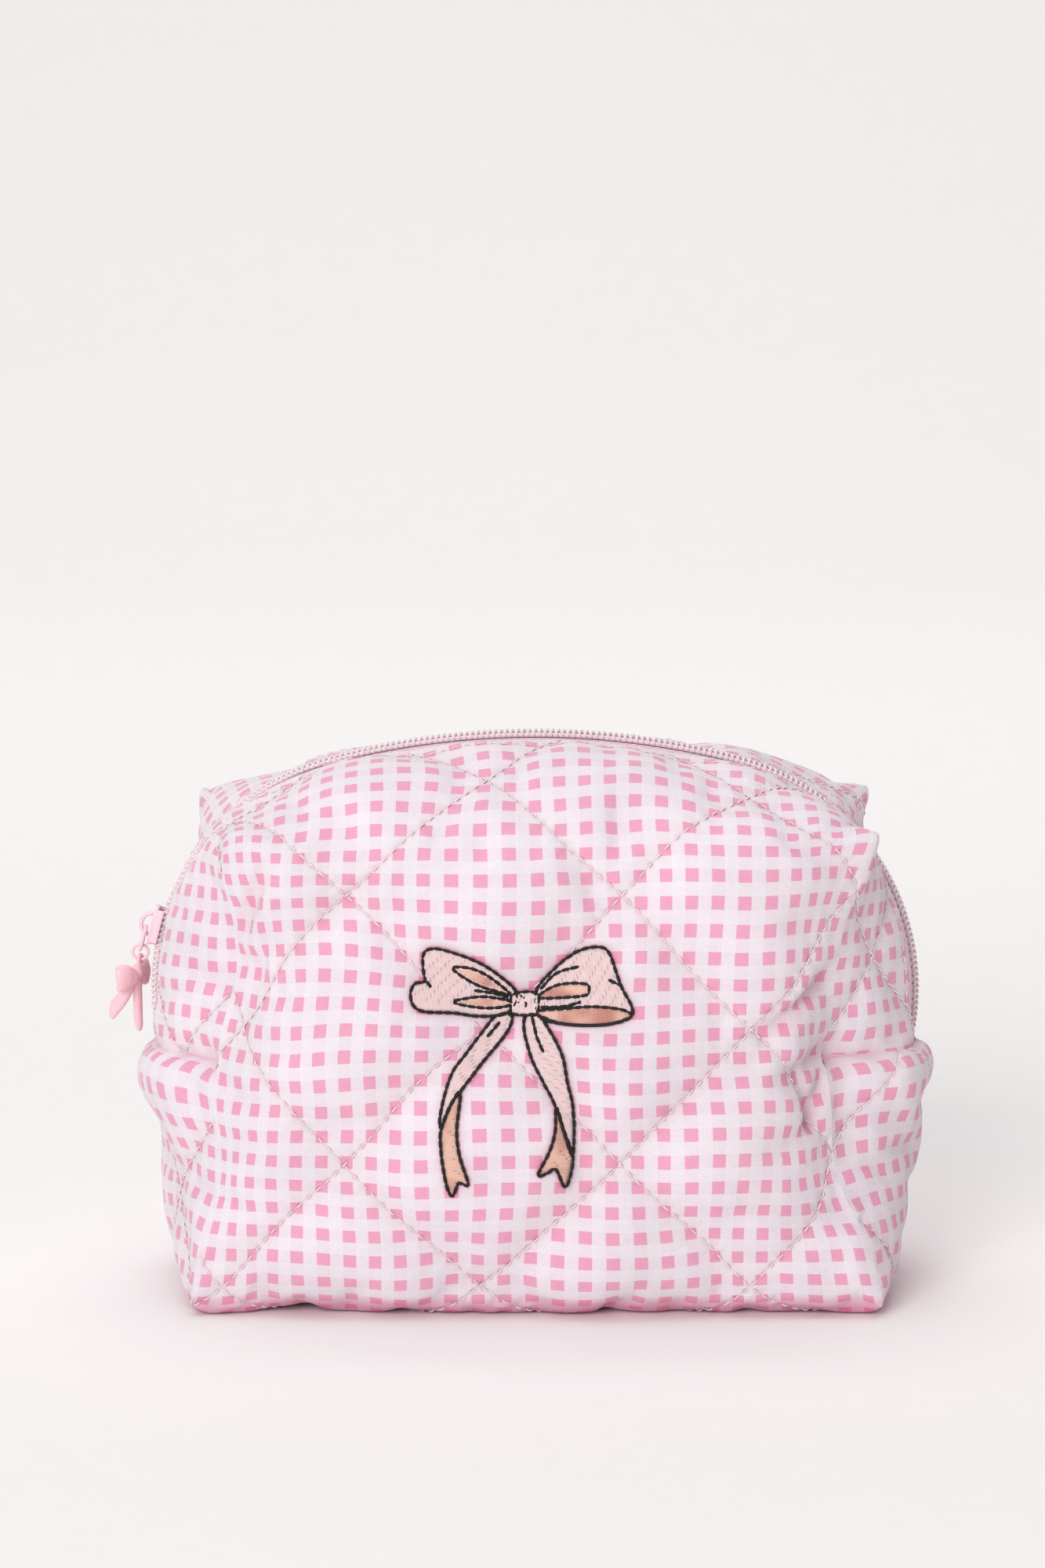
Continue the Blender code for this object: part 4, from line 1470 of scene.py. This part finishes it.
def bind_seams(grids, form):
    """Tape bound over the raw edges of the seams, standing into the bag."""
    tape = woven("binding_weave", (0.91, 0.60, 0.70))
    for sx, side in ((-1, "left"), (1, "right")):
        for face, sy in SIDES.items():
            column = grids[face][0 if sx < 0 else -1]
            node = f"{side}_{face}_seam_binding"
            bind(node, form[column[2:-1]], Vector((-sx, -sy, 0)), Vector((sx, -sy, 0)), tape)
        edge = grids[f"end{sx}"][ROWS_BELOW][3:-3]
        bind(f"{side}_end_seam_binding", form[edge], Vector((-sx, 0, 0)), Vector((0, 0, 1)), tape)


def bind(node, seam, inward, up, material):
    tubes = Tubes(8)
    step = inward.normalized() * (WALL + 3.4 * MM)
    tubes.add([Vector(place) + step for place in seam], 3 * MM, up.normalized(), 0.3)
    attach(tubes.make(node + "_tape", material), "root", "seam_binding", node)


# ---------------------------------------------------------------- studio

FLOOR_REACH = 6.0
WALL_Y = 3.0
WALL_BEND = 0.9
WALL_TOP = 5.0


def stage():
    """A pale seamless sweep, soft light from the front left, and the camera."""
    paper = plaster("seamless_paper", (0.93, 0.92, 0.915))
    bend_y = WALL_Y - WALL_BEND
    profile = [(-FLOOR_REACH, 0), (bend_y, 0)]
    for k in range(1, 9):
        angle = k / 8 * pi / 2
        profile.append((bend_y + WALL_BEND * sin(angle), WALL_BEND * (1 - cos(angle))))
    profile.append((WALL_Y, WALL_TOP))
    verts = [(x, y, z) for x in (-FLOOR_REACH, FLOOR_REACH) for y, z in profile]
    count = len(profile)
    faces = [(k, k + count, k + count + 1, k + 1) for k in range(count - 1)]
    object_from("studio_sweep", verts, faces, paper)
    light("key", (-0.95, -2.75, 1.3), 1.6, 51, (1.0, 0.985, 0.97))
    light("fill", (0.2, -1.9, 0.9), 1.4, 0.8, (1.0, 0.97, 0.96))
    light("backdrop", (0.0, 1.2, 2.6), 2.4, 20.5, (1.0, 0.995, 0.98), (0, 3.0, 0.9))
    ceiling = bpy.data.lights.new("ceiling", "SUN")
    ceiling.energy = 0.8
    ceiling.angle = radians(50)
    new_object("ceiling", ceiling)
    bpy.context.scene.view_settings.view_transform = "Standard"
    surroundings()
    place_camera()


AMBIENT = 0.44  # strength of the light from all round
SEEN_AMBIENT = 0.66  # its strength as the camera sees it
WORLD_LEFT = (0.99, 0.99, 1.0)
WORLD_RIGHT = (0.52, 0.35, 0.39)


def surroundings():
    """Soft light from all round, dimmer and pinker from the right; the camera sees plain grey."""
    world = bpy.context.scene.world = bpy.data.worlds.new("studio")
    n = Nodes(world)
    seen = n.node("LightPath", output="Is Camera Ray")
    way = n.node("TexCoord", output="Generated")
    inputs = {"Value": n.node("SeparateXYZ", {0: way}), "From Min": -0.2, "From Max": 0.8}
    side = n.node("MapRange", inputs, interpolation_type="SMOOTHSTEP")
    tinted = n.math("SUBTRACT", side, seen)
    tinted.socket.node.use_clamp = True
    background = n.tree.nodes["Background"].inputs
    n.put(background["Color"], n.mix(tinted, WORLD_LEFT, WORLD_RIGHT))
    strength = {"Value": seen, "To Min": AMBIENT, "To Max": SEEN_AMBIENT}
    n.put(background["Strength"], n.node("MapRange", strength))


def light(name, place, size, power, colour, aim=(0, 0, 0.07)):
    lamp = bpy.data.lights.new(name, "AREA")
    lamp.shape = "DISK"
    lamp.size = size
    lamp.energy = power
    lamp.color = colour
    obj = new_object(name, lamp)
    obj.visible_camera = False
    obj.location = place
    obj.rotation_euler = (Vector(aim) - Vector(place)).to_track_quat("-Z", "Y").to_euler()


VIEW_DISTANCE = 1.2
VIEW_ELEVATION = radians(10)
VIEW_WIDTH = 266.6 * MM  # what the frame takes in across the bag's middle
LOOK_ABOVE = 57 * MM  # how far above the bag's middle the camera looks
LOOK_LEFT = 3.2 * MM


def place_camera():
    middle = Vector((0, 0, 70 * MM))
    away = Vector((0, -cos(VIEW_ELEVATION), sin(VIEW_ELEVATION)))
    camera = bpy.data.cameras.new("camera")
    camera.sensor_fit = "HORIZONTAL"
    camera.lens = camera.sensor_width * VIEW_DISTANCE / VIEW_WIDTH
    camera.clip_start = 0.05
    obj = new_object("camera", camera)
    obj.location = middle + away * VIEW_DISTANCE
    up = Vector((0, sin(VIEW_ELEVATION), cos(VIEW_ELEVATION)))
    target = middle + up * LOOK_ABOVE - Vector((LOOK_LEFT, 0, 0))
    obj.rotation_euler = (target - obj.location).to_track_quat("-Z", "Y").to_euler()
    bpy.context.scene.camera = obj


cloths = make_cloth()
make_embroidery(cloths["front"])
make_zip()
paint = enamel("pink_enamel", (0.93, 0.62, 0.72), 0.25)
make_slider(paint)
make_charm(paint)
stage()
